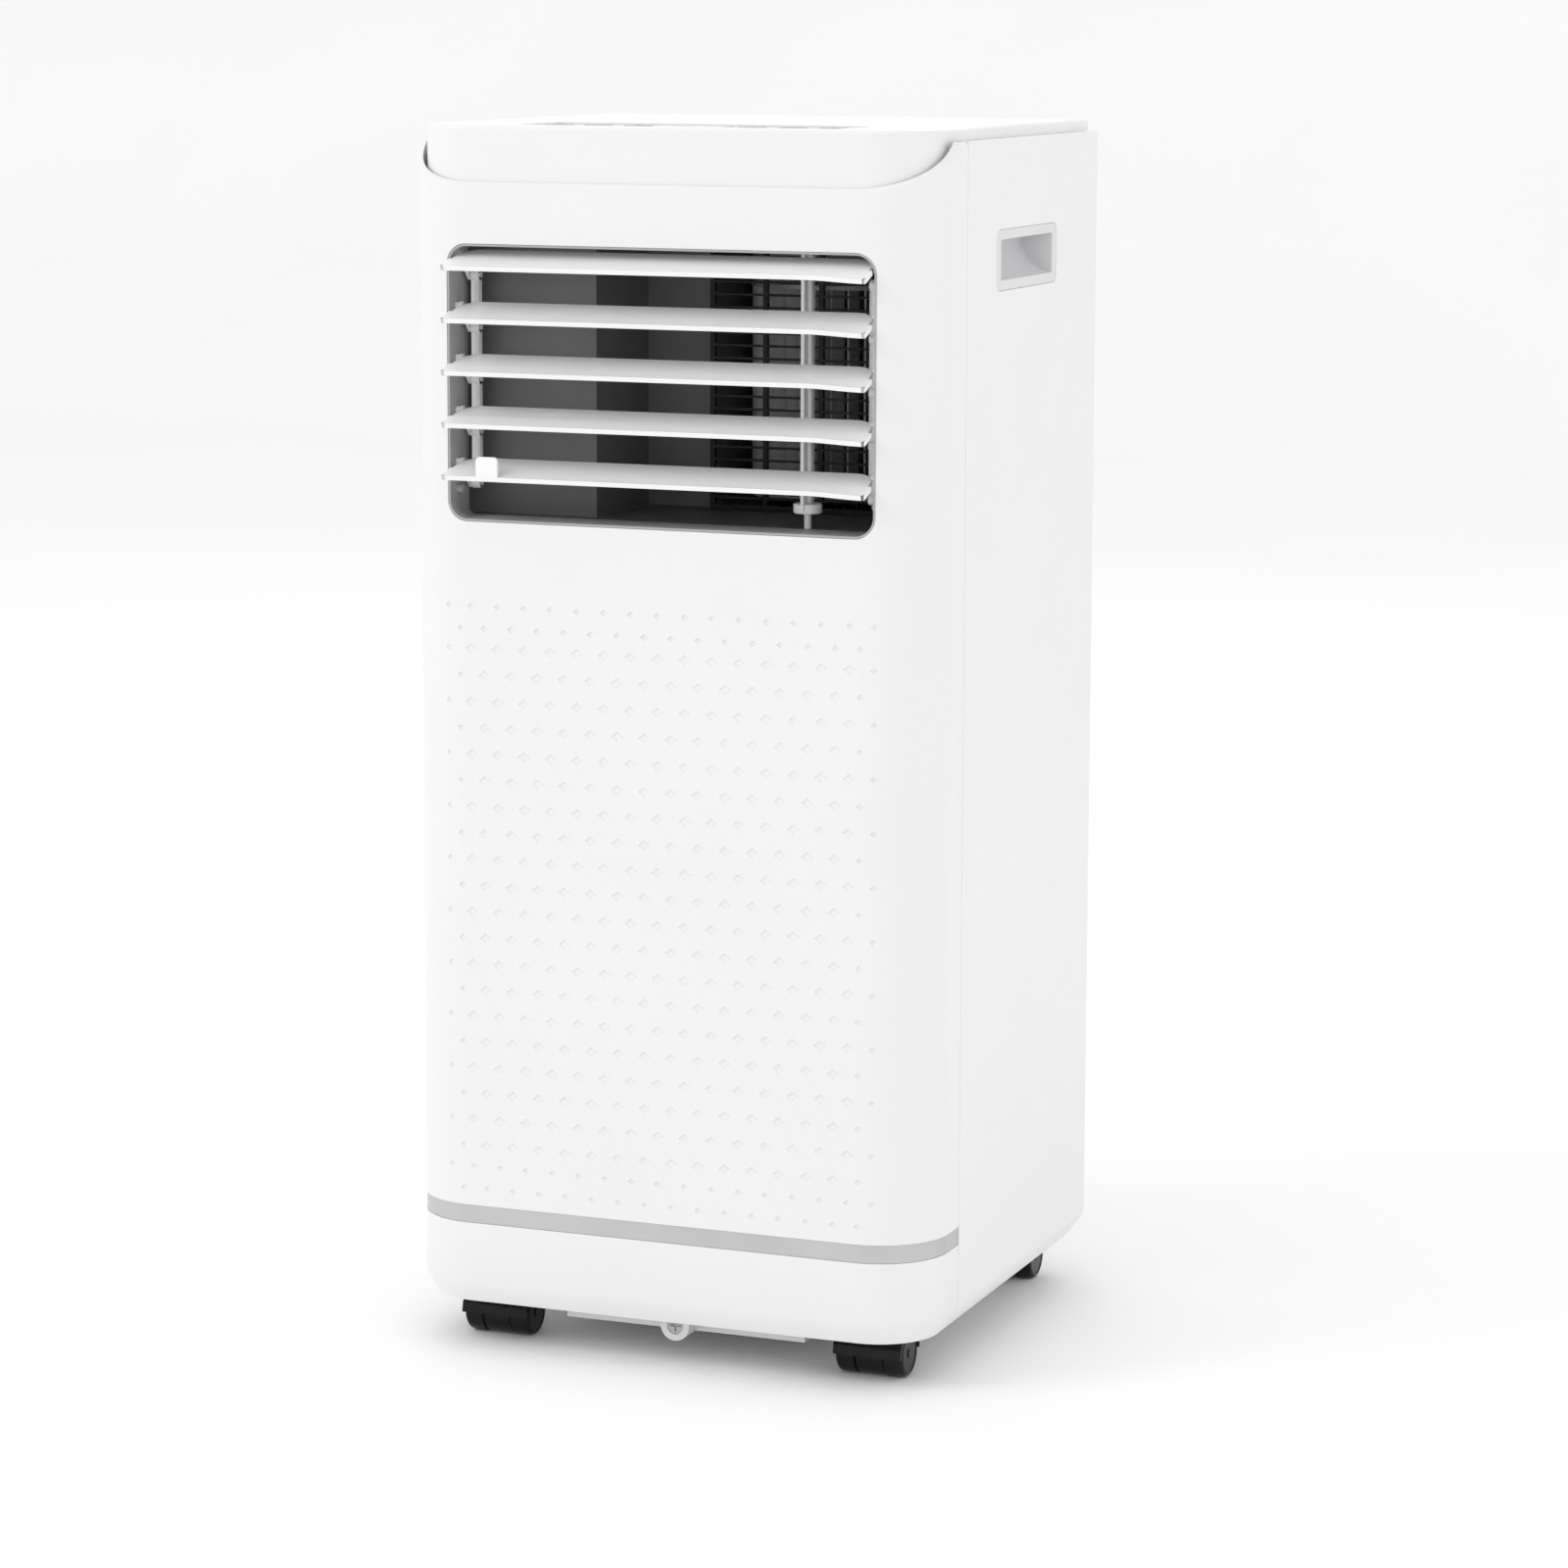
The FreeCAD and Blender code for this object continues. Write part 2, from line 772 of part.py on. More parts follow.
def frame_tail(inset, y0, y1):
    """Return the rear part of the frame as a block, squarer than the opening in front of it."""
    half = opening_width / 2 - frame_gap - inset
    low = opening_bottom + frame_gap + inset
    high = opening_top - frame_gap - inset
    return rounded_block(-half, half, y0, y1, low, high, frame_rear_corner + frame_wall - inset, ALONG_Y)


def louver_frame():
    """Return the frame that lines the louver opening and carries the slat pins."""
    mid_y = front_y + frame_nose
    nose = opening_block(-frame_gap, front_y, mid_y).common(body_slab(frame_sink, 0, height, rear_y))
    flange = opening_block(frame_flange, front_y + wall, front_y + wall + frame_flange_wall)
    flange = flange.common(body_slab(wall + fit_gap, 0, height, rear_y))
    solids = [nose, flange, frame_tail(0.0, mid_y, frame_rear_y)]
    start = opening_width / 2 - frame_gap - frame_wall
    reach = frame_wall + pivot_boss_reach
    for index in range(slat_count):
        z = slat_top_z - index * slat_pitch
        for side in (-1, 1):
            solids.append(rod(pivot_boss_radius, reach, side * start, slat_pivot_y, z, ALONG_X * side))
    frame = fuse(solids).cut(opening_block(-frame_gap - frame_wall, front_y - CUT_PAST, frame_rear_y))
    frame = frame.cut(frame_tail(frame_wall, mid_y + frame_wall, frame_rear_y + CUT_PAST))
    stop_z = slat_top_z - (slat_count - 1) * slat_pitch - stop_drop
    solids = [frame]
    for side in (-1, 1):
        start = side * frame_inner_x
        solids.append(rod(stop_radius, stop_length, start, slat_pivot_y, stop_z, ALONG_X * -side))
    frame = fuse(solids)
    bore = slat_pin_radius + pin_clearance
    for index in range(slat_count):
        z = slat_top_z - index * slat_pitch
        frame = frame.cut(rod(bore, 2 * width, -width, slat_pivot_y, z, ALONG_X))
    return frame


def slat_section(z):
    """Return the slat profile at rest: a tapered blade, thick at its drooping front edge."""
    tilt = math.radians(slat_tilt)
    forward = Vector(0, -math.cos(tilt), -math.sin(tilt))
    upward = Vector(0, -math.sin(tilt), math.cos(tilt))
    pivot = Vector(0, slat_pivot_y, z)
    reach = (slat_pivot_setback + slat_reach - slat_front_wall / 2 * math.sin(tilt)) / math.cos(tilt)
    front_top = pivot + forward * reach + upward * (slat_front_wall / 2)
    front_low = pivot + forward * reach - upward * (slat_front_wall / 2)
    rear_low = pivot - forward * slat_tail - upward * (slat_rear_wall / 2)
    rear_top = pivot - forward * slat_tail + upward * (slat_rear_wall / 2)
    return [front_top, front_low, rear_low, rear_top]


def slat_plan(z):
    """Return a tall block with the plan outline of a slat: rounded at its two rear corners."""
    rear = slat_pivot_y + slat_tail * math.cos(math.radians(slat_tilt)) + CUT_PAST
    front = -depth / 2 - CUT_PAST
    step_y = front_y - frame_sink
    nose = box(-slat_half, slat_half, front, step_y, z - slat_pitch, z + slat_pitch)
    half = slat_half - slat_step
    tail = box(-half, half, front, rear, z - slat_pitch, z + slat_pitch)
    edges = [edge for edge in tail.Edges
             if edge.BoundBox.YMin > rear - 0.1 and edge.BoundBox.ZLength > slat_pitch]
    return nose.fuse(tail.makeFillet(slat_corner, edges))


def slat_lug(z, side):
    """Return the lug that reaches down and back from a slat end to its link pin."""
    x = side * (slat_half - lug_gap)
    inward = ALONG_X * -side
    run = math.hypot(lug_back, lug_down)
    across = Vector(0, lug_down / run * lug_radius * 0.8, lug_back / run * lug_radius * 0.8)
    top = Vector(x, slat_pivot_y, z)
    end = top + Vector(0, lug_back, -lug_down)
    arm = prism([tuple(top - across), tuple(top + across), tuple(end + across), tuple(end - across)],
                inward * lug_wall)
    eye = rod(lug_radius, lug_wall, x, end.y, end.z, inward)
    pin_length = lug_wall + tie_width + 2 * tie_gap
    pin = rod(link_pin_radius, pin_length, x, end.y, end.z, inward)
    return [arm, eye, pin]


def slat(index):
    """Return one louver slat with its end pins and link lugs."""
    z = slat_top_z - index * slat_pitch
    corners = [tuple(point - ALONG_X * slat_half) for point in slat_section(z)]
    blade = prism(corners, ALONG_X * (2 * slat_half)).common(slat_plan(z))
    solids = [blade]
    for side in (-1, 1):
        start = side * (slat_half - lug_gap - lug_wall)
        length = lug_gap + lug_wall + slat_side_gap + slat_pin_length
        solids.append(rod(slat_pin_radius, length, start, slat_pivot_y, z, ALONG_X * side))
        solids.extend(slat_lug(z, side))
    if index == slat_count - 1:
        low = slat_section(z)[1].z + 0.5
        tab = rounded_block(tab_x - tab_width / 2, tab_x + tab_width / 2, -depth / 2 + 0.3,
                            -depth / 2 + 0.3 + tab_wall, low, low + tab_height, 2.5, ALONG_Y)
        solids.append(tab)
    return fuse(solids)


def tie_bar(side):
    """Return one upright link bar with an eye for every slat."""
    outer = slat_half - lug_gap - lug_wall - tie_gap
    x0, x1 = sorted((side * (outer - tie_width), side * outer))
    y = slat_pivot_y + lug_back
    top = slat_top_z - lug_down
    low = top - (slat_count - 1) * slat_pitch
    solids = [box(x0, x1, y - tie_depth / 2, y + tie_depth / 2, low, top)]
    for index in range(slat_count):
        z = top - index * slat_pitch
        solids.append(rod(tie_eye_radius, tie_width, x0, y, z, ALONG_X))
    bar = fuse(solids)
    for index in range(slat_count):
        z = top - index * slat_pitch
        bar = bar.cut(rod(link_pin_radius + pin_clearance, tie_width + 2, x0 - 1, y, z, ALONG_X))
    return bar


def vertical_vane():
    """Return the upright air vane with its disc foot and two pivot pins."""
    low = duct_floor + vane_gap
    high = duct_top - vane_gap
    blade = box(vane_x - vane_wall / 2, vane_x + vane_wall / 2, vane_y - vane_front, vane_y + vane_rear,
                low + 3.0, high)
    disc = rod(vane_disc_radius, vane_disc_wall, vane_x, vane_y, duct_floor + vane_disc_rise, ALONG_Z)
    span = high - low + 2 * vane_gap + 2 * vane_pin_length
    spindle = rod(vane_pin_radius, span, vane_x, vane_y, low - vane_gap - vane_pin_length, ALONG_Z)
    return fuse([blade, disc, spindle])


def air_duct():
    """Return the duct between the louver frame and the guard, stepped in on its left."""
    side = frame_inner_x
    far = side + duct_wall
    low = duct_floor - duct_wall
    high = duct_top + duct_wall
    start = frame_rear_y
    step = duct_step_x
    face = start + duct_step_setback
    plates = [
        box(-far, far, start, duct_back_y, low, duct_floor),
        box(-far, far, start, duct_back_y, duct_top, high),
        box(side, far, start, duct_back_y, low, high),
        box(-far, -side, start, face + duct_wall, low, high),
        box(-far, step, face, face + duct_wall, low, high),
        box(step - duct_wall, step, face, duct_back_y, low, high),
        box(step - duct_wall, guard_left_x, duct_back_y, duct_back_y + duct_wall, low, high),
    ]
    duct = fuse(plates)
    scroll_room_cut = box(guard_left_x - duct_wall, far + CUT_PAST, guard_y + guard_wall, duct_back_y + 5,
                          low - CUT_PAST, high + CUT_PAST)
    duct = duct.cut(scroll_room_cut)
    bore = vane_pin_radius + pin_clearance
    return duct.cut(rod(bore, height, vane_x, vane_y, low - CUT_PAST, ALONG_Z))


def blower_guard():
    """Return the finger guard in front of the blower: thin bars across upright ribs."""
    x0 = guard_left_x
    x1 = frame_inner_x - fit_gap
    low = duct_floor + fit_gap
    high = duct_top - fit_gap
    frame = box(x0, x1, guard_y, guard_y + guard_wall, low, high)
    rim = guard_rim
    frame = frame.cut(box(x0 + rim, x1 - rim, guard_y - CUT_PAST, guard_y + guard_wall + CUT_PAST,
                          low + rim, high - rim))
    solids = [frame]
    for index in range(guard_bars):
        z = low + (high - low) * (index + 1) / (guard_bars + 1)
        solids.append(box(x0, x1, guard_y, guard_y + guard_bar, z - guard_bar / 2, z + guard_bar / 2))
    for index in range(guard_ribs):
        x = x0 + (x1 - x0) * (index + 1) / (guard_ribs + 1)
        solids.append(box(x - guard_bar, x + guard_bar, guard_y, guard_y + guard_wall, low, high))
    return fuse(solids)


def drum_wheel(radius, length, blades, shaft_length, hub_depth):
    """Return a forward-curved blower wheel along +Z from the origin, with its shaft on top."""
    rings = []
    for z in (0.0, length - ring_wall):
        ring = rod(radius, ring_wall, 0, 0, z, ALONG_Z)
        rings.append(ring.cut(rod(radius - blade_depth, ring_wall + 2, 0, 0, z - 1, ALONG_Z)))
    plate = rod(radius, ring_wall, 0, 0, length - hub_depth, ALONG_Z)
    hub = rod(blower_hub_radius, hub_depth, 0, 0, length - hub_depth, ALONG_Z)
    shaft = rod(shaft_radius, shaft_length + hub_depth / 2, 0, 0, length - hub_depth / 2, ALONG_Z)
    solids = rings + [plate, hub, shaft]
    for index in range(blades):
        blade = box(blade_sink - blade_depth, 0, -blade_wall / 2, blade_wall / 2, 0, length)
        blade.rotate(Vector(0, 0, 0), ALONG_Z, -blade_lean)
        blade.translate(Vector(radius - blade_sink, 0, 0))
        blade.rotate(Vector(0, 0, 0), ALONG_Z, 360.0 * index / blades)
        solids.append(blade)
    return fuse(solids)


def blower_wheel():
    """Return the upright evaporator blower wheel."""
    length = duct_top - duct_floor - 2 * blower_gap
    shaft = blower_gap + duct_wall + motor_boss_height + shaft_grip
    wheel = drum_wheel(blower_radius, length, blower_blades, shaft, blower_hub_depth)
    wheel.translate(Vector(blower_x, blower_y, duct_floor + blower_gap))
    return wheel


def blower_scroll():
    """Return the blower housing: open at the front, with an inlet below and the motor above."""
    x0 = guard_left_x - duct_wall
    x1 = frame_inner_x + duct_wall
    y0 = guard_y + guard_wall
    y1 = blower_y + blower_radius + scroll_room + duct_wall
    low = duct_floor - duct_wall
    high = duct_top + duct_wall
    bend = min(blower_radius, (x1 - x0) / 2 - 1.0)

    def bay(inset, z0, z1, front):
        block = box(x0 + inset, x1 - inset, front, y1 - inset, z0, z1)
        edges = [edge for edge in block.Edges if edge.BoundBox.YMin > y1 - inset - 0.1
                 and edge.BoundBox.XLength < 0.1]
        return block.makeFillet(bend - inset, edges)

    scroll = bay(0.0, low, high, y0).cut(bay(duct_wall, duct_floor, duct_top, y0 - CUT_PAST))
    scroll = scroll.cut(rod(blower_inlet_radius, 4 * duct_wall, blower_x, blower_y, low - duct_wall, ALONG_Z))
    hole = motor_boss_radius + fit_gap
    return scroll.cut(rod(hole, 4 * duct_wall, blower_x, blower_y, duct_top - duct_wall, ALONG_Z))


def motor(radius, length, boss_down):
    """Return a can motor along +Z from the origin with a bore for its rotor shaft."""
    can = rod(radius, length, 0, 0, 0, ALONG_Z)
    rims = [edge for edge in can.Edges if edge.BoundBox.ZLength < 0.1]
    can = can.makeFillet(motor_round, rims)
    boss = rod(motor_boss_radius, boss_down + CUT_PAST, 0, 0, -boss_down, ALONG_Z)
    bore_length = boss_down + length * motor_bore_share
    bore = rod(shaft_radius + pin_clearance, bore_length, 0, 0, -boss_down - CUT_PAST, ALONG_Z)
    return can.fuse(boss).cut(bore)


def blower_motor():
    """Return the blower motor, standing on the blower housing."""
    shape = motor(blower_motor_radius, blower_motor_height, duct_wall)
    shape.translate(Vector(blower_x, blower_y, duct_top + duct_wall))
    return shape


def coil(half, y, thick, z0, z1):
    """Return a finned coil with end plates and return bends on its right."""
    fins = box(-half + coil_end_wall, half - coil_end_wall, y, y + thick, z0, z1)
    solids = [fins]
    for side in (-1, 1):
        x0, x1 = sorted((side * (half - coil_end_wall), side * half))
        solids.append(box(x0, x1, y - coil_end_side, y + thick + coil_end_side,
                          z0 - coil_end_rise, z1 + coil_end_rise))
    pitch = (z1 - z0) / bend_count
    for index in range(bend_count):
        z = z0 + pitch * (index + 0.5)
        bend = Part.makeTorus(bend_radius, bend_tube, Vector(half, y + thick / 2, z), ALONG_Y)
        start = half - coil_end_wall / 4
        outside = box(start, start + CUT_LENGTH, y, y + thick, z - CUT_LENGTH, z + CUT_LENGTH)
        solids.append(bend.common(outside))
    return fuse(solids)


def drip_deck():
    """Return the deck under the evaporator, with a raised rim."""
    half = width / 2 - deck_margin
    y0 = frame_rear_y
    y1 = rear_inner_y - intake_depth - 2.0
    deck = box(-half, half, y0, y1, deck_z, deck_z + deck_rim)
    return deck.cut(box(-half + deck_wall, half - deck_wall, y0 + deck_wall, y1 - deck_wall,
                        deck_z + deck_wall, deck_z + deck_rim + CUT_PAST))


def electrical_box():
    """Return the closed electrical box beside the air duct."""
    side = frame_inner_x
    y0 = frame_rear_y + duct_step_setback + duct_wall + box_margin
    return rounded_block(-side + box_margin, duct_step_x - duct_wall - box_margin, y0,
                         duct_back_y - box_margin, duct_floor, duct_top - box_margin, box_corner, ALONG_Z)


def intake_cartridge():
    """Return the pull-out intake grille cartridge."""
    half = intake_width / 2
    front = rear_face_y - intake_depth
    frame = box(-half, half, front, rear_face_y, intake_bottom, intake_top)
    frame = frame.cut(box(-half + intake_wall, half - intake_wall, front - CUT_PAST, rear_face_y + CUT_PAST,
                          intake_bottom + intake_wall, intake_top - intake_wall))
    solids = [frame]
    bar_y = rear_face_y - intake_bar_depth
    for index in range(intake_bars):
        z = intake_bottom + intake_height * (index + 1) / (intake_bars + 1)
        solids.append(box(-half, half, bar_y, rear_face_y, z - intake_bar / 2, z + intake_bar / 2))
    for index in range(intake_ribs):
        x = -half + intake_width * (index + 1) / (intake_ribs + 1)
        solids.append(box(x - intake_rib / 2, x + intake_rib / 2, rear_face_y - intake_rib_depth, rear_face_y,
                          intake_bottom, intake_top))
    return fuse(solids)


def filter_screen():
    """Return the flat washable filter inside the cartridge."""
    half = intake_width / 2 - intake_wall - fit_gap
    y = rear_face_y - intake_depth + filter_setback
    return box(-half, half, y, y + filter_wall, intake_bottom + intake_wall + fit_gap,
               intake_top - intake_wall - fit_gap)


def exhaust_scroll():
    """Return the condenser fan housing and the neck that carries hot air up to the collar."""
    top = deck_z - 3.0

    def form(inset, y0, y1):
        bowl = rod(scroll_radius - inset, y1 - y0, 0, y0, fan_z, ALONG_Y)
        neck = box(-neck_half + inset, neck_half - inset, y0, y1, fan_z, top - inset)
        return bowl.fuse(neck)

    housing = form(0.0, scroll_front_y, scroll_rear_y)
    housing = housing.cut(form(duct_wall, scroll_front_y + duct_wall, scroll_rear_y - duct_wall))
    through = 4 * duct_wall
    rear = scroll_rear_y - 2 * duct_wall
    front = scroll_front_y - 2 * duct_wall
    housing = housing.cut(rod(fan_inlet_radius, through, fan_x, rear, fan_z, ALONG_Y))
    housing = housing.cut(rod(collar_bore, through, 0, rear, collar_z, ALONG_Y))
    return housing.cut(rod(motor_boss_radius + fit_gap, through, fan_x, front, fan_z, ALONG_Y))


def condenser_fan():
    """Return the condenser fan wheel, its shaft towards the front."""
    length = scroll_depth - 2 * duct_wall - 2 * fan_gap
    shaft = fan_gap + duct_wall + fan_shaft_reach
    wheel = drum_wheel(fan_radius, length, fan_blades, shaft, fan_hub_depth)
    wheel.rotate(Vector(0, 0, 0), ALONG_X, 90)
    wheel.translate(Vector(fan_x, scroll_rear_y - duct_wall - fan_gap, fan_z))
    return wheel


def condenser_motor():
    """Return the condenser fan motor in front of the fan housing."""
    shape = motor(fan_motor_radius, fan_motor_length, duct_wall)
    shape.rotate(Vector(0, 0, 0), ALONG_X, 90)
    shape.translate(Vector(fan_x, scroll_front_y, fan_z))
    return shape


def exhaust_collar():
    """Return the round collar that takes the exhaust hose."""
    outer = collar_bore + collar_wall
    tube = rod(outer, depth / 2 - scroll_rear_y, 0, scroll_rear_y, collar_z, ALONG_Y)
    flange = rod(outer + collar_flange, collar_flange_wall, 0, rear_face_y, collar_z, ALONG_Y)
    bore = rod(collar_bore, depth, 0, scroll_rear_y - CUT_PAST, collar_z, ALONG_Y)
    return tube.fuse(flange).cut(bore)


def leg_places():
    """Return the three compressor legs as (x, y) pairs."""
    places = []
    for angle in compressor_angles:
        turn = math.radians(angle)
        x = compressor_x + leg_circle * math.cos(turn)
        places.append((x, compressor_y + leg_circle * math.sin(turn)))
    return places


def compressor():
    """Return the compressor can with its feet and the brazed accumulator beside it."""
    low = tray_z + tray_wall
    can_z = low + compressor_lift
    can = rod(compressor_radius, compressor_height, compressor_x, compressor_y, can_z, ALONG_Z)
    rims = [edge for edge in can.Edges if edge.BoundBox.ZLength < 0.1]
    can = can.makeFillet(compressor_dome, rims)
    foot_z = can_z + compressor_dome
    foot = rod(compressor_radius + foot_reach, foot_wall, compressor_x, compressor_y, foot_z, ALONG_Z)
    legs = [rod(leg_radius, foot_z - low + CUT_PAST, x, y, low, ALONG_Z) for x, y in leg_places()]
    y = compressor_y - accumulator_offset
    bottle = rod(accumulator_radius, accumulator_height, compressor_x, y, low + accumulator_base, ALONG_Z)
    rims = [edge for edge in bottle.Edges if edge.BoundBox.ZLength < 0.1]
    bottle = bottle.makeFillet(accumulator_radius * 0.5, rims)
    strap_z = low + accumulator_base + accumulator_height * strap_share
    half = strap_width / 2
    strap = box(compressor_x - half, compressor_x + half, y, compressor_y, strap_z, strap_z + strap_height)
    return fuse([can, foot, bottle, strap] + legs)


def pipe(points):
    """Return a round pipe along straight runs joined by equal bends."""
    corners = [Vector(*point) for point in points]
    edges = []
    start = corners[0]
    for before, corner, after in zip(corners, corners[1:], corners[2:]):
        inward = (corner - before).normalize()
        outward = (after - corner).normalize()
        first = corner - inward * pipe_bend
        last = corner + outward * pipe_bend
        centre = corner - inward * pipe_bend + outward * pipe_bend
        middle = centre + (corner - centre).normalize() * pipe_bend
        edges.append(Part.LineSegment(start, first).toShape())
        edges.append(Part.Arc(first, middle, last).toShape())
        start = last
    edges.append(Part.LineSegment(start, corners[-1]).toShape())
    path = Part.Wire(edges)
    ring = Part.Wire([Part.Circle(corners[0], corners[1] - corners[0], pipe_radius).toShape()])
    return path.makePipeShell([ring], True, True)


def discharge_pipe():
    """Return the pipe from the compressor to the condenser."""
    top = tray_z + tray_wall + compressor_lift + compressor_height
    y = condenser_y + condenser_depth / 2
    x = -condenser_half - pipe_out
    high = top + discharge_rise
    inlet_z = condenser_bottom + condenser_height - pipe_drop
    return pipe([(compressor_x, compressor_y, top), (compressor_x, compressor_y, high),
                 (x, compressor_y, high), (x, y, high), (x, y, inlet_z), (-condenser_half, y, inlet_z)])


def suction_pipe():
    """Return the pipe from the evaporator to the accumulator."""
    bottle_top = tray_z + tray_wall + accumulator_base + accumulator_height
    start_y = compressor_y - accumulator_offset
    high = tray_z + tray_wall + compressor_lift + compressor_height + suction_rise
    y = evaporator_y + evaporator_depth / 2
    x = -evaporator_half - pipe_out
    outlet_z = deck_z + deck_rim + 2 * pipe_drop
    return pipe([(compressor_x, start_y, bottle_top), (compressor_x, start_y, high),
                 (x, start_y, high), (x, y, high), (x, y, outlet_z), (-evaporator_half, y, outlet_z)])


def caster_places():
    """Return caster names with their stem positions."""
    return [
        ("front_left", -caster_x, caster_front_y),
        ("front_right", caster_x, caster_front_y),
        ("rear_left", -caster_x, caster_rear_y),
        ("rear_right", caster_x, caster_rear_y),
    ]


def base_tray():
    """Return the base tray with its sump, caster sockets, drain boss and rear port."""
    floor_inset = wall + skirt_inset * (crease_z - tray_z) / (crease_z - skirt_z) + fit_gap
    rear = rear_inner_y - fit_gap
    floor = body_slab(floor_inset, tray_z, tray_z + tray_wall, rear)
    ring = body_slab(floor_inset, tray_z, tray_rim_top, rear)
    hollow = body_slab(floor_inset + tray_rim_wall, tray_z - CUT_PAST, tray_rim_top + CUT_PAST,
                       rear - tray_rim_wall)
    ring = ring.cut(hollow)
    lip = body_slab(wall, tray_rim_top - tray_rim_wall, tray_rim_top, rear)
    lip = lip.cut(hollow)
    sump_front = front_y + sump_setback
    sump_rear = rear_inner_y - sump_setback
    sump = box(-sump_half, sump_half, sump_front, sump_rear, sump_bottom, tray_z + tray_wall)
    drain_face = sump_front - drain_length
    boss = rod(drain_radius, drain_length + CUT_PAST, 0, drain_face, drain_z, ALONG_Y)
    web = box(-drain_radius, drain_radius, drain_face, sump_front + CUT_PAST, drain_z, tray_z + CUT_PAST)
    port = rod(port_radius - fit_gap, tray_rim_wall + wall + fit_gap, port_x, rear - tray_rim_wall,
               port_z, ALONG_Y)
    solids = [floor, ring, lip, sump, boss, web, port]
    for _, x, y in caster_places():
        solids.append(rod(socket_radius, stem_length + tray_wall, x, y, tray_z, ALONG_Z))
    tray = fuse(solids)
    pool = box(-sump_half + tray_wall, sump_half - tray_wall, sump_front + tray_wall, sump_rear - tray_wall,
               sump_bottom + tray_wall, tray_z + tray_wall + CUT_PAST)
    tray = tray.cut(pool)
    rise = tray_z + tray_wall - sump_bottom
    pads = [rod(leg_radius + leg_pad, rise, x, y, sump_bottom, ALONG_Z) for x, y in leg_places()
            if abs(x) < sump_half]
    tray = fuse([tray] + pads)
    bore_length = drain_length + tray_wall + 2 * CUT_PAST
    tray = tray.cut(rod(drain_bore + pin_clearance, bore_length, 0, drain_face - CUT_PAST, drain_z, ALONG_Y))
    tray = tray.cut(rod(port_bore, CUT_LENGTH, port_x, rear - CUT_LENGTH / 2, port_z, ALONG_Y))
    for _, x, y in caster_places():
        socket = rod(stem_radius + pin_clearance, stem_length + CUT_PAST, x, y, tray_z - CUT_PAST, ALONG_Z)
        tray = tray.cut(socket)
    return tray


def front_drain_plug():
    """Return the cross-head plug in the front drain boss."""
    face = front_y + sump_setback - drain_length + plug_recess
    plug = rod(drain_bore, drain_length - 2 * plug_recess, 0, face, drain_z, ALONG_Y)
    half = plug_cross_half
    arm = drain_bore * half
    floor = face + plug_cross_depth
    cross = box(-arm, arm, face - CUT_PAST, floor, drain_z - half, drain_z + half)
    upright = box(-half, half, face - CUT_PAST, floor, drain_z - arm, drain_z + arm)
    return plug.cut(cross).cut(upright)


def rear_drain_plug():
    """Return the rubber plug in the rear drain port."""
    length = port_plug_length
    stem = rod(port_bore - port_plug_gap, length, port_x, rear_face_y - length, port_z, ALONG_Y)
    head = rod(port_radius + port_plug_stand, port_plug_stand, port_x, rear_face_y, port_z, ALONG_Y)
    return stem.fuse(head)


def cord_gland():
    """Return the round bush where a supply cord would enter."""
    flange = rod(gland_radius + gland_flange, gland_stand, gland_x, rear_face_y, gland_z, ALONG_Y)
    barrel = rod(gland_radius, wall + gland_tail, gland_x, rear_inner_y - gland_tail, gland_z, ALONG_Y)
    bore = rod(gland_bore, CUT_LENGTH, gland_x, rear_inner_y - CUT_LENGTH / 2, gland_z, ALONG_Y)
    return flange.fuse(barrel).cut(bore)


def caster_hood(x, y):
    """Return one caster hood with its stem and axle."""
    axle_y = y + caster_trail
    start = x - hood_half
    disc = rod(hood_disc_radius, 2 * hood_half, start, axle_y, wheel_radius, ALONG_X)
    outer = wheel_radius + fender_gap + fender_wall
    fender = rod(outer, 2 * wheel_outer, x - wheel_outer, axle_y, wheel_radius, ALONG_X)
    fender = fender.cut(rod(outer - fender_wall, 2 * width, -width, axle_y, wheel_radius, ALONG_X))
    fender = fender.common(box(-width, width, axle_y - outer, axle_y + outer, wheel_radius, tray_z))
    web = rod(outer - fender_wall + 0.2, 2 * hood_half, start, axle_y, wheel_radius, ALONG_X)
    web = web.common(box(-width, width, axle_y - outer, axle_y + outer, wheel_radius, tray_z))
    seat = rod(collar_radius, tray_z - fit_gap - wheel_radius - hood_disc_radius + 1, x, y,
               wheel_radius + hood_disc_radius - 1, ALONG_Z)
    stem = rod(stem_radius, stem_length - 1.0 + fit_gap, x, y, tray_z - fit_gap, ALONG_Z)
    axle = rod(axle_radius, 2 * wheel_outer, x - wheel_outer, axle_y, wheel_radius, ALONG_X)
    return fuse([disc, fender, web, seat, stem, axle])


def caster_wheel(x, y, side):
    """Return one caster wheel with a dished outer face."""
    axle_y = y + caster_trail
    wheel = rod(wheel_radius, wheel_outer - wheel_inner, x + side * wheel_inner, axle_y, wheel_radius,
                ALONG_X * side)
    rims = [edge for edge in wheel.Edges if edge.BoundBox.XLength < 0.1]
    wheel = wheel.makeFillet(wheel_round, rims)
    dish_x = x + side * (wheel_outer - wheel_dish_depth)
    dish = rod(wheel_radius * wheel_dish_share, wheel_dish_depth + CUT_PAST, dish_x, axle_y, wheel_radius,
               ALONG_X * side)
    wheel = wheel.cut(dish)
    return wheel.cut(rod(axle_radius + pin_clearance, 2 * width, -width, axle_y, wheel_radius, ALONG_X))


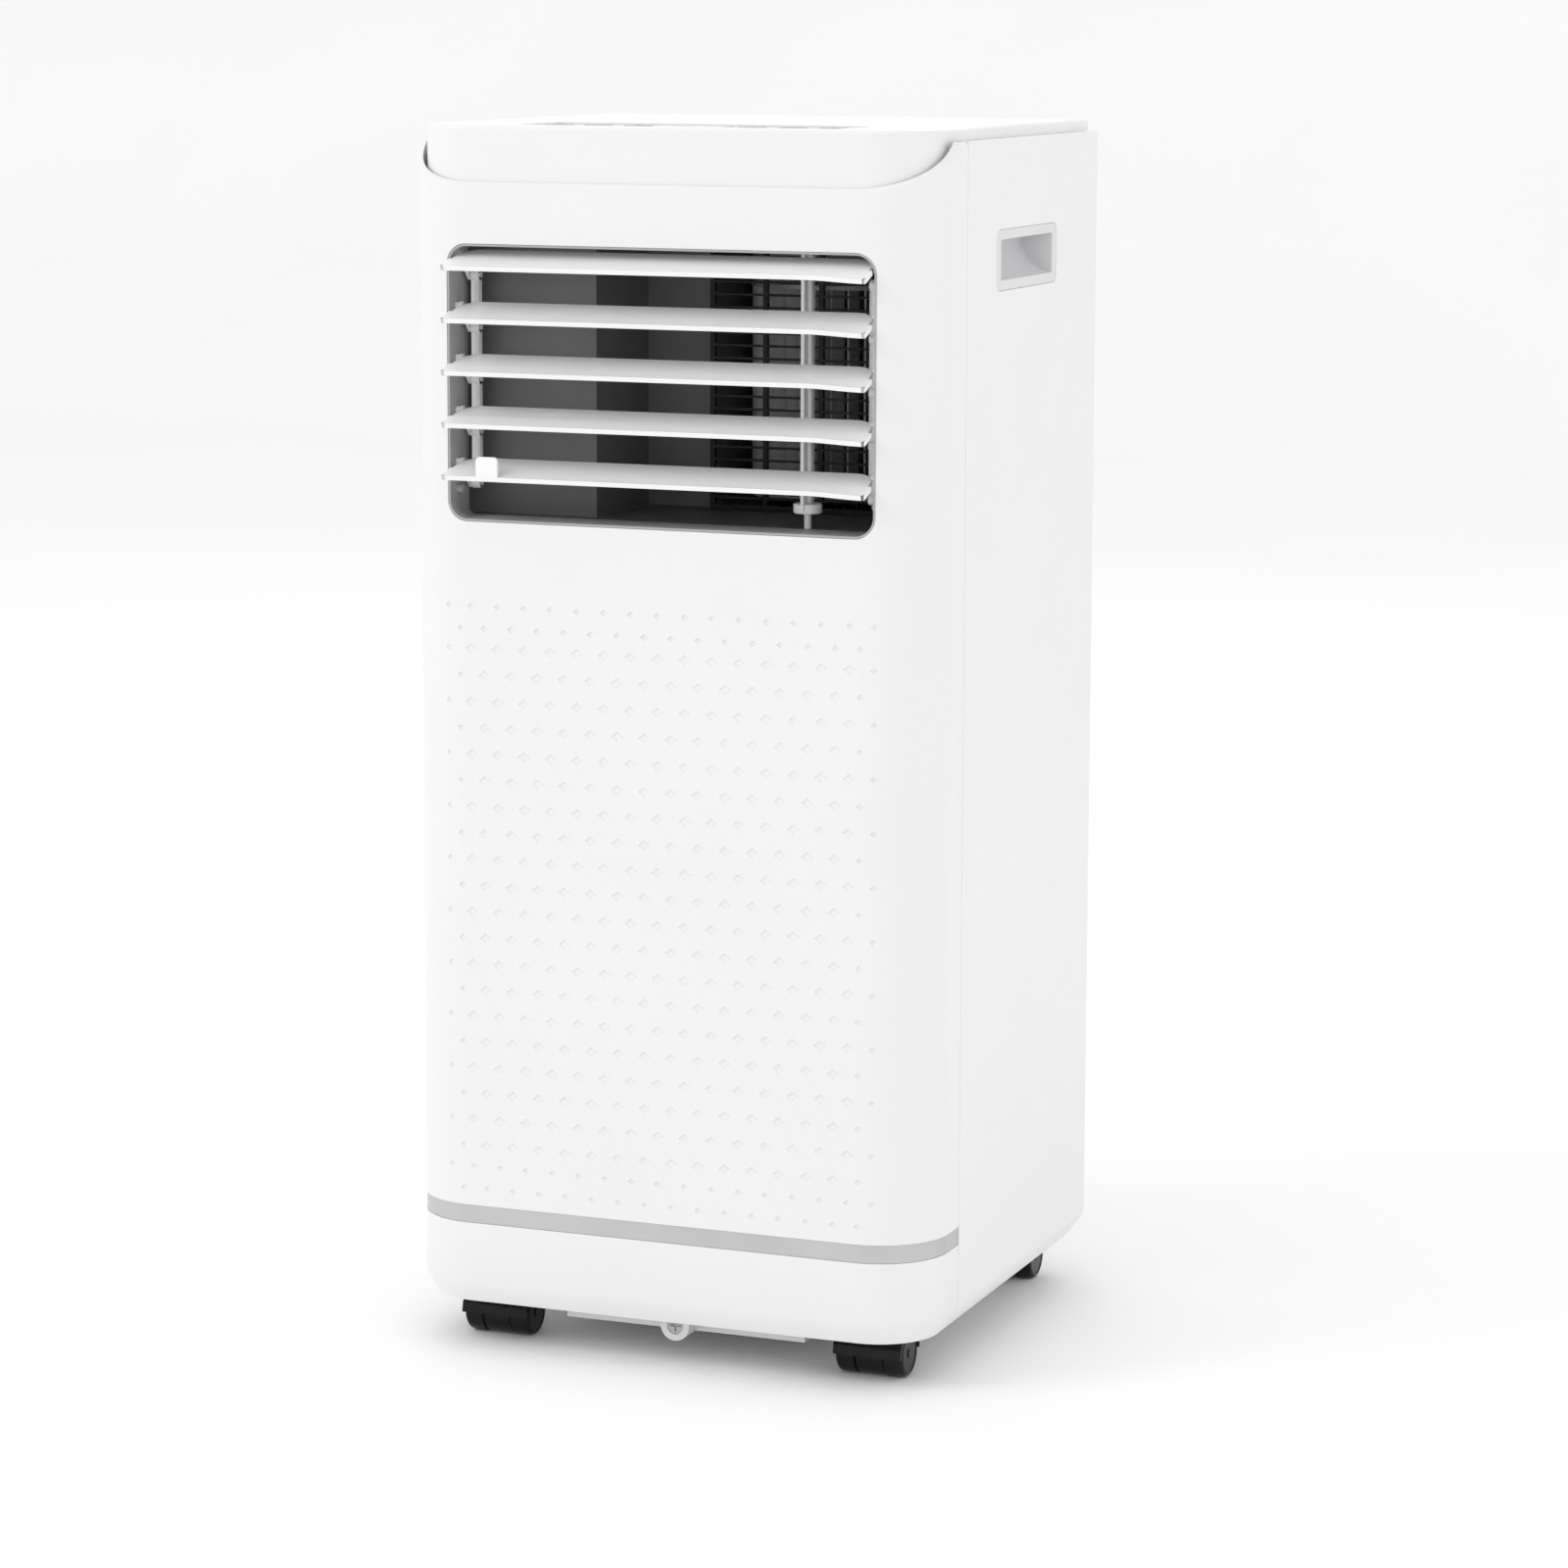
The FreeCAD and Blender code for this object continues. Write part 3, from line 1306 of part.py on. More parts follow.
def build():
    """Return every piece by name."""
    shell = casing_shell()
    evaporator_low = deck_z + deck_rim + 2.0
    pieces = {
        "front_cover": front_cover(shell),
        "trim_strip": trim_strip(),
        "side_panel_left": side_panel(shell, -1),
        "side_panel_right": side_panel(shell, 1),
        "rear_panel": rear_panel(),
        "rear_screws": screws(),
        "top_lid": top_lid(),
        "control_panel": control_panel(),
        "display_window": display_window(),
        "control_board": control_board(),
        "grip_cup_left": grip_cup(-1),
        "grip_cup_right": grip_cup(1),
        "louver_frame": louver_frame(),
        "tie_bar_left": tie_bar(-1),
        "tie_bar_right": tie_bar(1),
        "vertical_vane": vertical_vane(),
        "air_duct": air_duct(),
        "blower_guard": blower_guard(),
        "blower_wheel": blower_wheel(),
        "blower_scroll": blower_scroll(),
        "blower_motor": blower_motor(),
        "evaporator_coil": coil(evaporator_half, evaporator_y, evaporator_depth, evaporator_low,
                                height - evaporator_top_drop),
        "drip_deck": drip_deck(),
        "electrical_box": electrical_box(),
        "intake_cartridge": intake_cartridge(),
        "filter_screen": filter_screen(),
        "exhaust_scroll": exhaust_scroll(),
        "condenser_fan": condenser_fan(),
        "condenser_motor": condenser_motor(),
        "exhaust_collar": exhaust_collar(),
        "condenser_coil": coil(condenser_half, condenser_y, condenser_depth, condenser_bottom,
                               condenser_bottom + condenser_height),
        "compressor": compressor(),
        "refrigerant_pipes": Part.makeCompound([discharge_pipe(), suction_pipe()]),
        "base_tray": base_tray(),
        "front_drain_plug": front_drain_plug(),
        "rear_drain_plug": rear_drain_plug(),
        "cord_gland": cord_gland(),
    }
    for index in range(slat_count):
        pieces["slat_%d" % (index + 1)] = slat(index)
    key_names = ["power_key", "mode_key", "timer_key", "cooler_key", "warmer_key", "fan_speed_key"]
    for name, x in zip(key_names, key_places()):
        pieces[name] = control_key(x)
    for name, x, y in caster_places():
        pieces["caster_hood_" + name] = caster_hood(x, y)
        pieces["caster_wheel_%s_a" % name] = caster_wheel(x, y, -1)
        pieces["caster_wheel_%s_b" % name] = caster_wheel(x, y, 1)
    return pieces


def write(pieces):
    """Write one STEP file for each piece."""
    os.makedirs("parts", exist_ok=True)
    for name, shape in pieces.items():
        shape.exportStep("parts/%s.step" % name)


write(build())
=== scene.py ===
"""The looks of a portable room air conditioner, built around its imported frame. Units are metres."""

import json
import logging
import math
from dataclasses import dataclass
from enum import Enum
from typing import Callable, Iterable, Sequence

import bpy
from mathutils import Matrix, Vector

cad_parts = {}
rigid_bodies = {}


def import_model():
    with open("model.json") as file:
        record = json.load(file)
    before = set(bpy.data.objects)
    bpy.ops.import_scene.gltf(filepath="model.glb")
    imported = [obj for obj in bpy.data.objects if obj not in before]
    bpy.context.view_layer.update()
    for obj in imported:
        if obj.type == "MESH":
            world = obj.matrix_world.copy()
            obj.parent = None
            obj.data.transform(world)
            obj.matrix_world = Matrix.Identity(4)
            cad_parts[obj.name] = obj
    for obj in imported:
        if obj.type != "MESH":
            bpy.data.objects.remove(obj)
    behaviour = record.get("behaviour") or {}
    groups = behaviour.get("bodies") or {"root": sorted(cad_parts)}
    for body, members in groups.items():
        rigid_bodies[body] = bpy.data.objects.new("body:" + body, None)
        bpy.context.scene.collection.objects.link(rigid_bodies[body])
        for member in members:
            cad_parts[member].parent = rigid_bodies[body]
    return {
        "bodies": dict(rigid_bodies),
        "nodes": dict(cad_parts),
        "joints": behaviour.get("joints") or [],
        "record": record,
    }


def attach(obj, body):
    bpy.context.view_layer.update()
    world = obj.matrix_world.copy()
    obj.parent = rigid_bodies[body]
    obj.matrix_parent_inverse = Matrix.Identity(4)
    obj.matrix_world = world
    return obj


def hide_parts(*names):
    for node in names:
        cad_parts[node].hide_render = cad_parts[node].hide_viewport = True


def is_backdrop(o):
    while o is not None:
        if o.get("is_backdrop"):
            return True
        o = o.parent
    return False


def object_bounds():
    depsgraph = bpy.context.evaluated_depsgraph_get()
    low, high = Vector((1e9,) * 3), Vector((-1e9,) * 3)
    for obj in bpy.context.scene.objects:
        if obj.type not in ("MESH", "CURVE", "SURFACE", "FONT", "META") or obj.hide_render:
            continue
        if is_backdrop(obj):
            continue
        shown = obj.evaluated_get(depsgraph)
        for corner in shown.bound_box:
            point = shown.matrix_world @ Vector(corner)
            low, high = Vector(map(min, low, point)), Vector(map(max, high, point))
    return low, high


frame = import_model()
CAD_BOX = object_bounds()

MM = 0.001
# How near a place must be to count as on an edge or a face, and how closely a direction must follow an axis.
NEAR = 0.1 * MM
ALONG = 0.9
ACROSS = 0.1
# Two corners this near are one.
SAME = 0.005 * MM
# The same for a CAD mesh, and the angle under which its faces are one flat face.
WELD = 0.01 * MM
FLAT = math.radians(0.5)
Point = Sequence[float]
Corners = tuple[Point, Point]
log = logging.getLogger("air_conditioner")


class Axis(Enum):
    """A main direction of the frame."""

    X = 0
    Y = 1
    Z = 2


class Part(Enum):
    """What an edit-mode selection is made of."""

    VERT = "VERT"
    EDGE = "EDGE"
    FACE = "FACE"


class Key(Enum):
    """The push keys, from left to right."""

    POWER = "power_key"
    MODE = "mode_key"
    TIMER = "timer_key"
    COOLER = "cooler_key"
    WARMER = "warmer_key"
    FAN_SPEED = "fan_speed_key"


def mm(*values: float) -> tuple[float, ...]:
    """Return sizes in metres from sizes in millimetres."""
    return tuple(value * MM for value in values)


# ---------------------------------------------------------------- modelling bench


class Bench:
    """Modelling moves, each made with Blender's own operators."""

    @staticmethod
    def only(*pieces: bpy.types.Object) -> None:
        """Select these objects and nothing else, and make the first one active.

        Args:
            pieces: the objects to select; the first becomes the active one.
        """
        if bpy.context.mode != "OBJECT":
            bpy.ops.object.mode_set(mode="OBJECT")
        bpy.ops.object.select_all(action="DESELECT")
        for piece in pieces:
            piece.hide_set(False)
            piece.select_set(True)
        bpy.context.view_layer.objects.active = pieces[0]

    @staticmethod
    def clear() -> None:
        """Deselect every object before a primitive is added."""
        if bpy.context.mode != "OBJECT":
            bpy.ops.object.mode_set(mode="OBJECT")
        bpy.ops.object.select_all(action="DESELECT")

    @staticmethod
    def settle(piece: bpy.types.Object) -> bpy.types.Object:
        """Put a piece's place, turn and scale into its mesh.

        Args:
            piece: the object, placed anywhere.

        Returns:
            The same object, at the origin and unscaled.
        """
        Bench.only(piece)
        bpy.ops.object.transform_apply(location=True, rotation=True, scale=True)
        return piece

    @staticmethod
    def named(name: str) -> bpy.types.Object:
        """Name the primitive just added and settle it.

        Args:
            name: the name to give.

        Returns:
            The active object, renamed.
        """
        piece = bpy.context.active_object
        piece.name = name
        piece.data.name = name
        return Bench.settle(piece)

    @staticmethod
    def block(name: str, low: Point, high: Point) -> bpy.types.Object:
        """Add a box between two corners.

        Args:
            name: the piece's name.
            low: its lowest corner.
            high: its highest corner.

        Returns:
            The box.
        """
        Bench.clear()
        middle = [(a + b) / 2 for a, b in zip(low, high)]
        size = [b - a for a, b in zip(low, high)]
        bpy.ops.mesh.primitive_cube_add(size=1.0, location=middle)
        bpy.context.active_object.scale = size
        return Bench.named(name)

    @staticmethod
    def cone(
        name: str,
        base: Point,
        tip: Point,
        radius: float,
        end_radius: float | None = None,
        sides: int = 48,
        turn: float = 0.0,
    ) -> bpy.types.Object:
        """Add a straight or tapered round bar from one point to another.

        Args:
            name: the piece's name.
            base: the middle of its first end.
            tip: the middle of its other end.
            radius: the radius of the first end.
            end_radius: the radius of the other end, the same as the first when left out.
            sides: how many flats make it round.
            turn: how far it is turned about its own line.

        Returns:
            The bar.
        """
        Bench.clear()
        start, end = Vector(base), Vector(tip)
        line = end - start
        facing = line.to_track_quat("Z", "Y") @ Matrix.Rotation(turn, 4, "Z").to_quaternion()
        bpy.ops.mesh.primitive_cone_add(
            vertices=sides,
            radius1=radius,
            radius2=radius if end_radius is None else end_radius,
            depth=line.length,
            location=(start + end) / 2,
            rotation=facing.to_euler(),
        )
        return Bench.named(name)

    @staticmethod
    def select(piece: bpy.types.Object, part: Part, wanted: Callable[[Vector, Vector], bool]) -> None:
        """Select parts of a mesh by their place, and stay in edit mode.

        Args:
            piece: the object.
            part: what is selected.
            wanted: takes the middle and the direction: a face's normal, an edge's line, or a
                vertex's normal.
        """
        Bench.only(piece)
        bpy.ops.object.mode_set(mode="EDIT")
        bpy.ops.mesh.select_mode(type=part.value)
        bpy.ops.mesh.select_all(action="DESELECT")
        bpy.ops.object.mode_set(mode="OBJECT")
        mesh = piece.data
        points = mesh.vertices
        if part is Part.VERT:
            for vert in points:
                vert.select = wanted(vert.co, vert.normal)
        elif part is Part.EDGE:
            for edge in mesh.edges:
                a, b = (points[i].co for i in edge.vertices)
                edge.select = wanted((a + b) / 2, (b - a).normalized())
        else:
            for face in mesh.polygons:
                face.select = wanted(face.center, face.normal)
        bpy.ops.object.mode_set(mode="EDIT")

    @staticmethod
    def done() -> None:
        """Leave edit mode."""
        bpy.ops.object.mode_set(mode="OBJECT")

    @staticmethod
    def round_edges(
        piece: bpy.types.Object, wanted: Callable[[Vector, Vector], bool], radius: float, steps: int = 4
    ) -> None:
        """Bevel the edges that a test picks.

        Args:
            piece: the object.
            wanted: takes an edge's middle and direction.
            radius: the bevel's width.
            steps: how many faces make the round.
        """
        Bench.select(piece, Part.EDGE, wanted)
        bpy.ops.mesh.bevel(offset_type="OFFSET", offset=radius, segments=steps, profile=0.5, affect="EDGES")
        Bench.done()

    @staticmethod
    def pillow(
        name: str, low: Point, high: Point, axis: Axis, corner: float, steps: int = 6
    ) -> bpy.types.Object:
        """Add a box whose four edges along one axis are round.

        Args:
            name: the piece's name.
            low: its lowest corner.
            high: its highest corner.
            axis: the axis that the round edges follow.
            corner: their radius.
            steps: how many faces make each corner.

        Returns:
            The rounded box.
        """
        piece = Bench.block(name, low, high)
        Bench.round_edges(piece, lambda _, way: abs(way[axis.value]) > ALONG, corner, steps)
        return piece

    @staticmethod
    def slice(piece: bpy.types.Object, at: Point, normal: Point) -> None:
        """Cut a line of edges round a mesh where a plane crosses it.

        Args:
            piece: the mesh to cut.
            at: a point on the plane.
            normal: the plane's direction.
        """
        Bench.select(piece, Part.FACE, lambda *_: True)
        bpy.ops.mesh.bisect(plane_co=at, plane_no=normal)
        Bench.done()

    @staticmethod
    def trim(piece: bpy.types.Object, at: Point, normal: Point, fill: bool = True) -> None:
        """Cut off what lies on the normal's side of a plane.

        Args:
            piece: the mesh to cut.
            at: a point on the plane.
            normal: the side that is removed.
            fill: whether the cut is closed with a face.
        """
        Bench.select(piece, Part.FACE, lambda *_: True)
        bpy.ops.mesh.bisect(plane_co=at, plane_no=normal, clear_outer=True, use_fill=fill)
        Bench.done()

    @staticmethod
    def drop_faces(piece: bpy.types.Object, wanted: Callable[[Vector, Vector], bool]) -> None:
        """Delete the faces that a test picks.

        Args:
            piece: the mesh to change.
            wanted: a test of a face's middle and normal.
        """
        Bench.select(piece, Part.FACE, wanted)
        bpy.ops.mesh.delete(type="FACE")
        Bench.done()

    @staticmethod
    def copy(piece: bpy.types.Object, name: str, shift: Point = (0, 0, 0)) -> bpy.types.Object:
        """Copy a piece with a mesh of its own, moved by a shift.

        Args:
            piece: the object to copy.
            name: the copy's name.
            shift: how far the copy is moved.

        Returns:
            The copy.
        """
        twin = piece.copy()
        twin.data = piece.data.copy()
        twin.name = name
        twin.data.name = name
        bpy.context.scene.collection.objects.link(twin)
        twin.location = shift
        return Bench.settle(twin)

    @staticmethod
    def turn(piece: bpy.types.Object, pivot: Point, angle: float, axis: Axis) -> None:
        """Turn a piece about a line through a point.

        Args:
            piece: the object.
            pivot: a point on the line.
            angle: how far, in radians.
            axis: the line's direction.
        """
        piece.matrix_world = (
            Matrix.Translation(Vector(pivot))
            @ Matrix.Rotation(angle, 4, axis.name)
            @ Matrix.Translation(-Vector(pivot))
        )
        Bench.settle(piece)

    @staticmethod
    def join(pieces: Sequence[bpy.types.Object], name: str) -> bpy.types.Object:
        """Put several meshes in one object.

        Args:
            pieces: the objects.
            name: the new object's name.

        Returns:
            The joined object.
        """
        Bench.only(*pieces)
        if len(pieces) > 1:
            bpy.ops.object.join()
        joined = bpy.context.active_object
        joined.name = name
        joined.data.name = name
        return joined

    @staticmethod
    def modify(piece: bpy.types.Object, kind: str, **settings: object) -> None:
        """Add a modifier, set it, and apply it.

        Args:
            piece: the object.
            kind: the modifier's type.
            settings: its settings by name.
        """
        Bench.only(piece)
        modifier = piece.modifiers.new(kind.lower(), kind)
        for key, value in settings.items():
            setattr(modifier, key, value)
        bpy.ops.object.modifier_apply(modifier=modifier.name)

    @staticmethod
    def cut(piece: bpy.types.Object, other: bpy.types.Object) -> None:
        """Cut a closed shape out of a piece, and use the shape up.

        Args:
            piece: the object that stays.
            other: the object that cuts it.
        """
        Bench.modify(piece, "BOOLEAN", object=other, operation="DIFFERENCE", solver="EXACT")
        bpy.data.objects.remove(other, do_unlink=True)

    @staticmethod
    def outward(piece: bpy.types.Object) -> None:
        """Merge doubled vertices and turn every face outwards.

        Args:
            piece: the mesh to change.
        """
        Bench.select(piece, Part.FACE, lambda *_: True)
        bpy.ops.mesh.remove_doubles(threshold=SAME)
        bpy.ops.mesh.select_all(action="SELECT")
        bpy.ops.mesh.normals_make_consistent(inside=False)
        Bench.done()

    @staticmethod
    def soften(piece: bpy.types.Object, width: float = 0.4 * MM, steps: int = 2, sharp: float = 40.0) -> None:
        """Round off the sharp edges a little, as a mould leaves them.

        Args:
            piece: the object.
            width: the bevel's width.
            steps: how many faces make it.
            sharp: the least angle of an edge that counts as sharp, in degrees.
        """
        Bench.modify(
            piece, "BEVEL", width=width, segments=steps, limit_method="ANGLE",
            angle_limit=math.radians(sharp), use_clamp_overlap=True,
        )

    @staticmethod
    def smooth(piece: bpy.types.Object, angle: float = 38.0) -> None:
        """Shade a piece smooth up to an angle and keep its large flats flat.

        Args:
            piece: the object.
            angle: edges sharper than this stay sharp, in degrees.
        """
        Bench.only(piece)
        bpy.ops.object.shade_smooth_by_angle(angle=math.radians(angle))
        Bench.modify(piece, "WEIGHTED_NORMAL", mode="FACE_AREA", weight=50, keep_sharp=True)


# ---------------------------------------------------------------- finishes


class Palette:
    """Builds one node material, step by step."""

    def __init__(self, name: str) -> None:
        """Start a material with a principled shader and object coordinates.

        Args:
            name: the material's name.
        """
        self.material = bpy.data.materials.new(name)
        self.material.use_nodes = True
        self.tree = self.material.node_tree
        self.tree.nodes.clear()
        self.out = self.node("ShaderNodeOutputMaterial")
        self.shader = self.node("ShaderNodeBsdfPrincipled")
        self.link(self.shader, "BSDF", self.out, "Surface")
        self.place = self.node("ShaderNodeTexCoord")

    def node(self, kind: str, **settings: object) -> bpy.types.Node:
        """Add a node and set its own settings by name.

        Args:
            kind: the node's type name.
            settings: its properties.

        Returns:
            The new node.
        """
        made = self.tree.nodes.new(kind)
        for key, value in settings.items():
            setattr(made, key, value)
        return made

    def link(
        self, source: bpy.types.Node, output: str | int, target: bpy.types.Node, socket: str | int
    ) -> None:
        """Join one node's output to another node's input."""
        self.tree.links.new(source.outputs[output], target.inputs[socket])

    def mapped(self, scale: Point, turn: Point = (0, 0, 0)) -> bpy.types.Node:
        """Return a mapping of object coordinates, scaled and turned.

        Args:
            scale: the scale along each axis.
            turn: the turn about each axis, in radians.

        Returns:
            The mapping node.
        """
        mapping = self.node("ShaderNodeMapping")
        mapping.inputs["Scale"].default_value = scale
        mapping.inputs["Rotation"].default_value = turn
        self.link(self.place, "Object", mapping, "Vector")
        return mapping

    def noise(
        self, scale: float, detail: float = 3.0, rough: float = 0.5, stretch: Point = (1, 1, 1)
    ) -> bpy.types.Node:
        """Return a noise texture over object coordinates.

        Args:
            scale: cells to a metre.
            detail: how many finer layers.
            rough: how strong the finer layers are.
            stretch: a scale on each axis.

        Returns:
            The noise node, whose Fac output runs from 0 to 1.
        """
        texture = self.node("ShaderNodeTexNoise")
        texture.inputs["Scale"].default_value = scale
        texture.inputs["Detail"].default_value = detail
        texture.inputs["Roughness"].default_value = rough
        self.link(self.mapped(stretch), "Vector", texture, "Vector")
        return texture

    def spread(
        self,
        source: bpy.types.Node,
        output: str,
        low: float,
        high: float,
        limits: tuple[float, float] = (0.3, 0.7),
    ) -> bpy.types.Node:
        """Return a value from low to high that follows another value.

        Args:
            source: the node that drives the value.
            output: its output.
            low: the value at the low limit.
            high: the value at the high limit.
            limits: the part of the input that is used.

        Returns:
            The node whose result is the value.
        """
        span = self.node("ShaderNodeMapRange")
        span.inputs["From Min"].default_value = limits[0]
        span.inputs["From Max"].default_value = limits[1]
        span.inputs["To Min"].default_value = low
        span.inputs["To Max"].default_value = high
        self.link(source, output, span, "Value")
        return span

    def tint(self, source: bpy.types.Node, output: str, dark: Point, light: Point) -> bpy.types.Node:
        """Return a colour ramp between two colours that follows a value.

        Args:
            source: the node that drives the colour.
            output: its output.
            dark: the colour at the low end.
            light: the colour at the high end.

        Returns:
            The colour ramp.
        """
        ramp = self.node("ShaderNodeValToRGB")
        ramp.color_ramp.elements[0].position = 0.3
        ramp.color_ramp.elements[1].position = 0.7
        ramp.color_ramp.elements[0].color = (*dark, 1.0)
        ramp.color_ramp.elements[1].color = (*light, 1.0)
        self.link(source, output, ramp, "Fac")
        return ramp

    def relief(
        self,
        source: bpy.types.Node,
        output: str,
        depth: float,
        strength: float,
        under: bpy.types.Node | None = None,
    ) -> bpy.types.Node:
        """Return a bump whose height follows a value, on top of another bump if given.

        Args:
            source: the node that drives the height.
            output: its output.
            depth: the height in metres.
            strength: how far the bump is felt, up to 1.
            under: a bump that this one lies on.

        Returns:
            The bump node.
        """
        bump = self.node("ShaderNodeBump")
        bump.inputs["Distance"].default_value = depth
        bump.inputs["Strength"].default_value = strength
        self.link(source, output, bump, "Height")
        if under is not None:
            self.link(under, "Normal", bump, "Normal")
        return bump

    def finish(
        self, colour: bpy.types.Node, rough: bpy.types.Node, bump: bpy.types.Node
    ) -> bpy.types.Material:
        """Join colour, roughness and bump to the shader and return the material.

        Args:
            colour: the node with the base colour.
            rough: the node with the roughness.
            bump: the node with the normal.

        Returns:
            The material.
        """
        self.link(colour, 0, self.shader, "Base Color")
        self.link(rough, 0, self.shader, "Roughness")
        self.link(bump, "Normal", self.shader, "Normal")
        return self.material


@dataclass(frozen=True)
class Moulded:
    """A moulded plastic: a faint mottle, a fine mould grain and a slight wave."""

    name: str
    light: Point
    dark: Point
    rough: tuple[float, float] = (0.3, 0.38)
    grain: float = 2200.0
    grain_depth: float = 0.012 * MM
    grain_strength: float = 0.15
    wave_depth: float = 0.03 * MM
    coat: float = 0.0
    specular: float = 0.5

    def make(self) -> bpy.types.Material:
        """Return the material.

        Returns:
            The material.
        """
        palette = Palette(self.name)
        mottle = palette.noise(9.0, 4.0, 0.55)
        flow = palette.noise(24.0, 3.0, 0.5)
        speck = palette.noise(self.grain, 2.0, 0.5)
        colour = palette.tint(mottle, "Fac", self.dark, self.light)
        rough = palette.spread(flow, "Fac", *self.rough)
        wave = palette.relief(flow, "Fac", self.wave_depth, 0.05)
        bump = palette.relief(speck, "Fac", self.grain_depth, self.grain_strength, wave)
        palette.shader.inputs["Coat Weight"].default_value = self.coat
        palette.shader.inputs["Coat Roughness"].default_value = 0.08
        palette.shader.inputs["Specular IOR Level"].default_value = self.specular
        return palette.finish(colour, rough, bump)


@dataclass(frozen=True)
class Metal:
    """A metal with fine lines along one axis, or with none when it is cast or painted."""

    name: str
    light: Point
    dark: Point
    rough: tuple[float, float] = (0.3, 0.42)
    stretch: Point = (1.0, 1.0, 1.0)
    grain: float = 900.0
    depth: float = 0.04 * MM
    strength: float = 0.25
    metallic: float = 1.0

    def make(self) -> bpy.types.Material:
        """Return the material.

        Returns:
            The material.
        """
        palette = Palette(self.name)
        lines = palette.noise(self.grain, 4.0, 0.6, self.stretch)
        cloud = palette.noise(30.0, 3.0, 0.5)
        colour = palette.tint(cloud, "Fac", self.dark, self.light)
        rough = palette.spread(lines, "Fac", *self.rough)
        bump = palette.relief(lines, "Fac", self.depth, self.strength)
        palette.shader.inputs["Metallic"].default_value = self.metallic
        return palette.finish(colour, rough, bump)


@dataclass(frozen=True)
class Banded:
    """A surface with close regular bands on one or two axes, such as coil fins or a woven screen, whose
    colour runs dark in the band troughs as painted shade in the gaps between fins and between wires.
    """

    name: str
    light: Point
    dark: Point
    pitch: float
    axes: tuple[Axis, ...]
    depth: float
    rough: tuple[float, float] = (0.35, 0.5)
    metallic: float = 0.0

    def make(self) -> bpy.types.Material:
        """Return the material.

        Returns:
            The material.
        """
        palette = Palette(self.name)
        bump: bpy.types.Node | None = None
        height: bpy.types.Node | None = None
        for axis in self.axes:
            wave = palette.node("ShaderNodeTexWave", bands_direction=axis.name, wave_profile="SIN")
            wave.inputs["Scale"].default_value = math.pi / 10 / self.pitch
            wave.inputs["Distortion"].default_value = 0.15
            palette.link(palette.mapped((1, 1, 1)), "Vector", wave, "Vector")
            bump = palette.relief(wave, "Fac", self.depth, 0.7, bump)
            height = wave
        cloud = palette.noise(35.0, 3.0, 0.5)
        # The last wave drives the colour too: light on its crests, dark in its troughs as painted shade in
        # the gaps.
        colour = palette.tint(height, "Fac", self.dark, self.light)
        rough = palette.spread(cloud, "Fac", *self.rough)
        palette.shader.inputs["Metallic"].default_value = self.metallic
        return palette.finish(colour, rough, bump)


WHITE_LIGHT, WHITE_DARK = (0.80, 0.80, 0.80), (0.785, 0.786, 0.788)

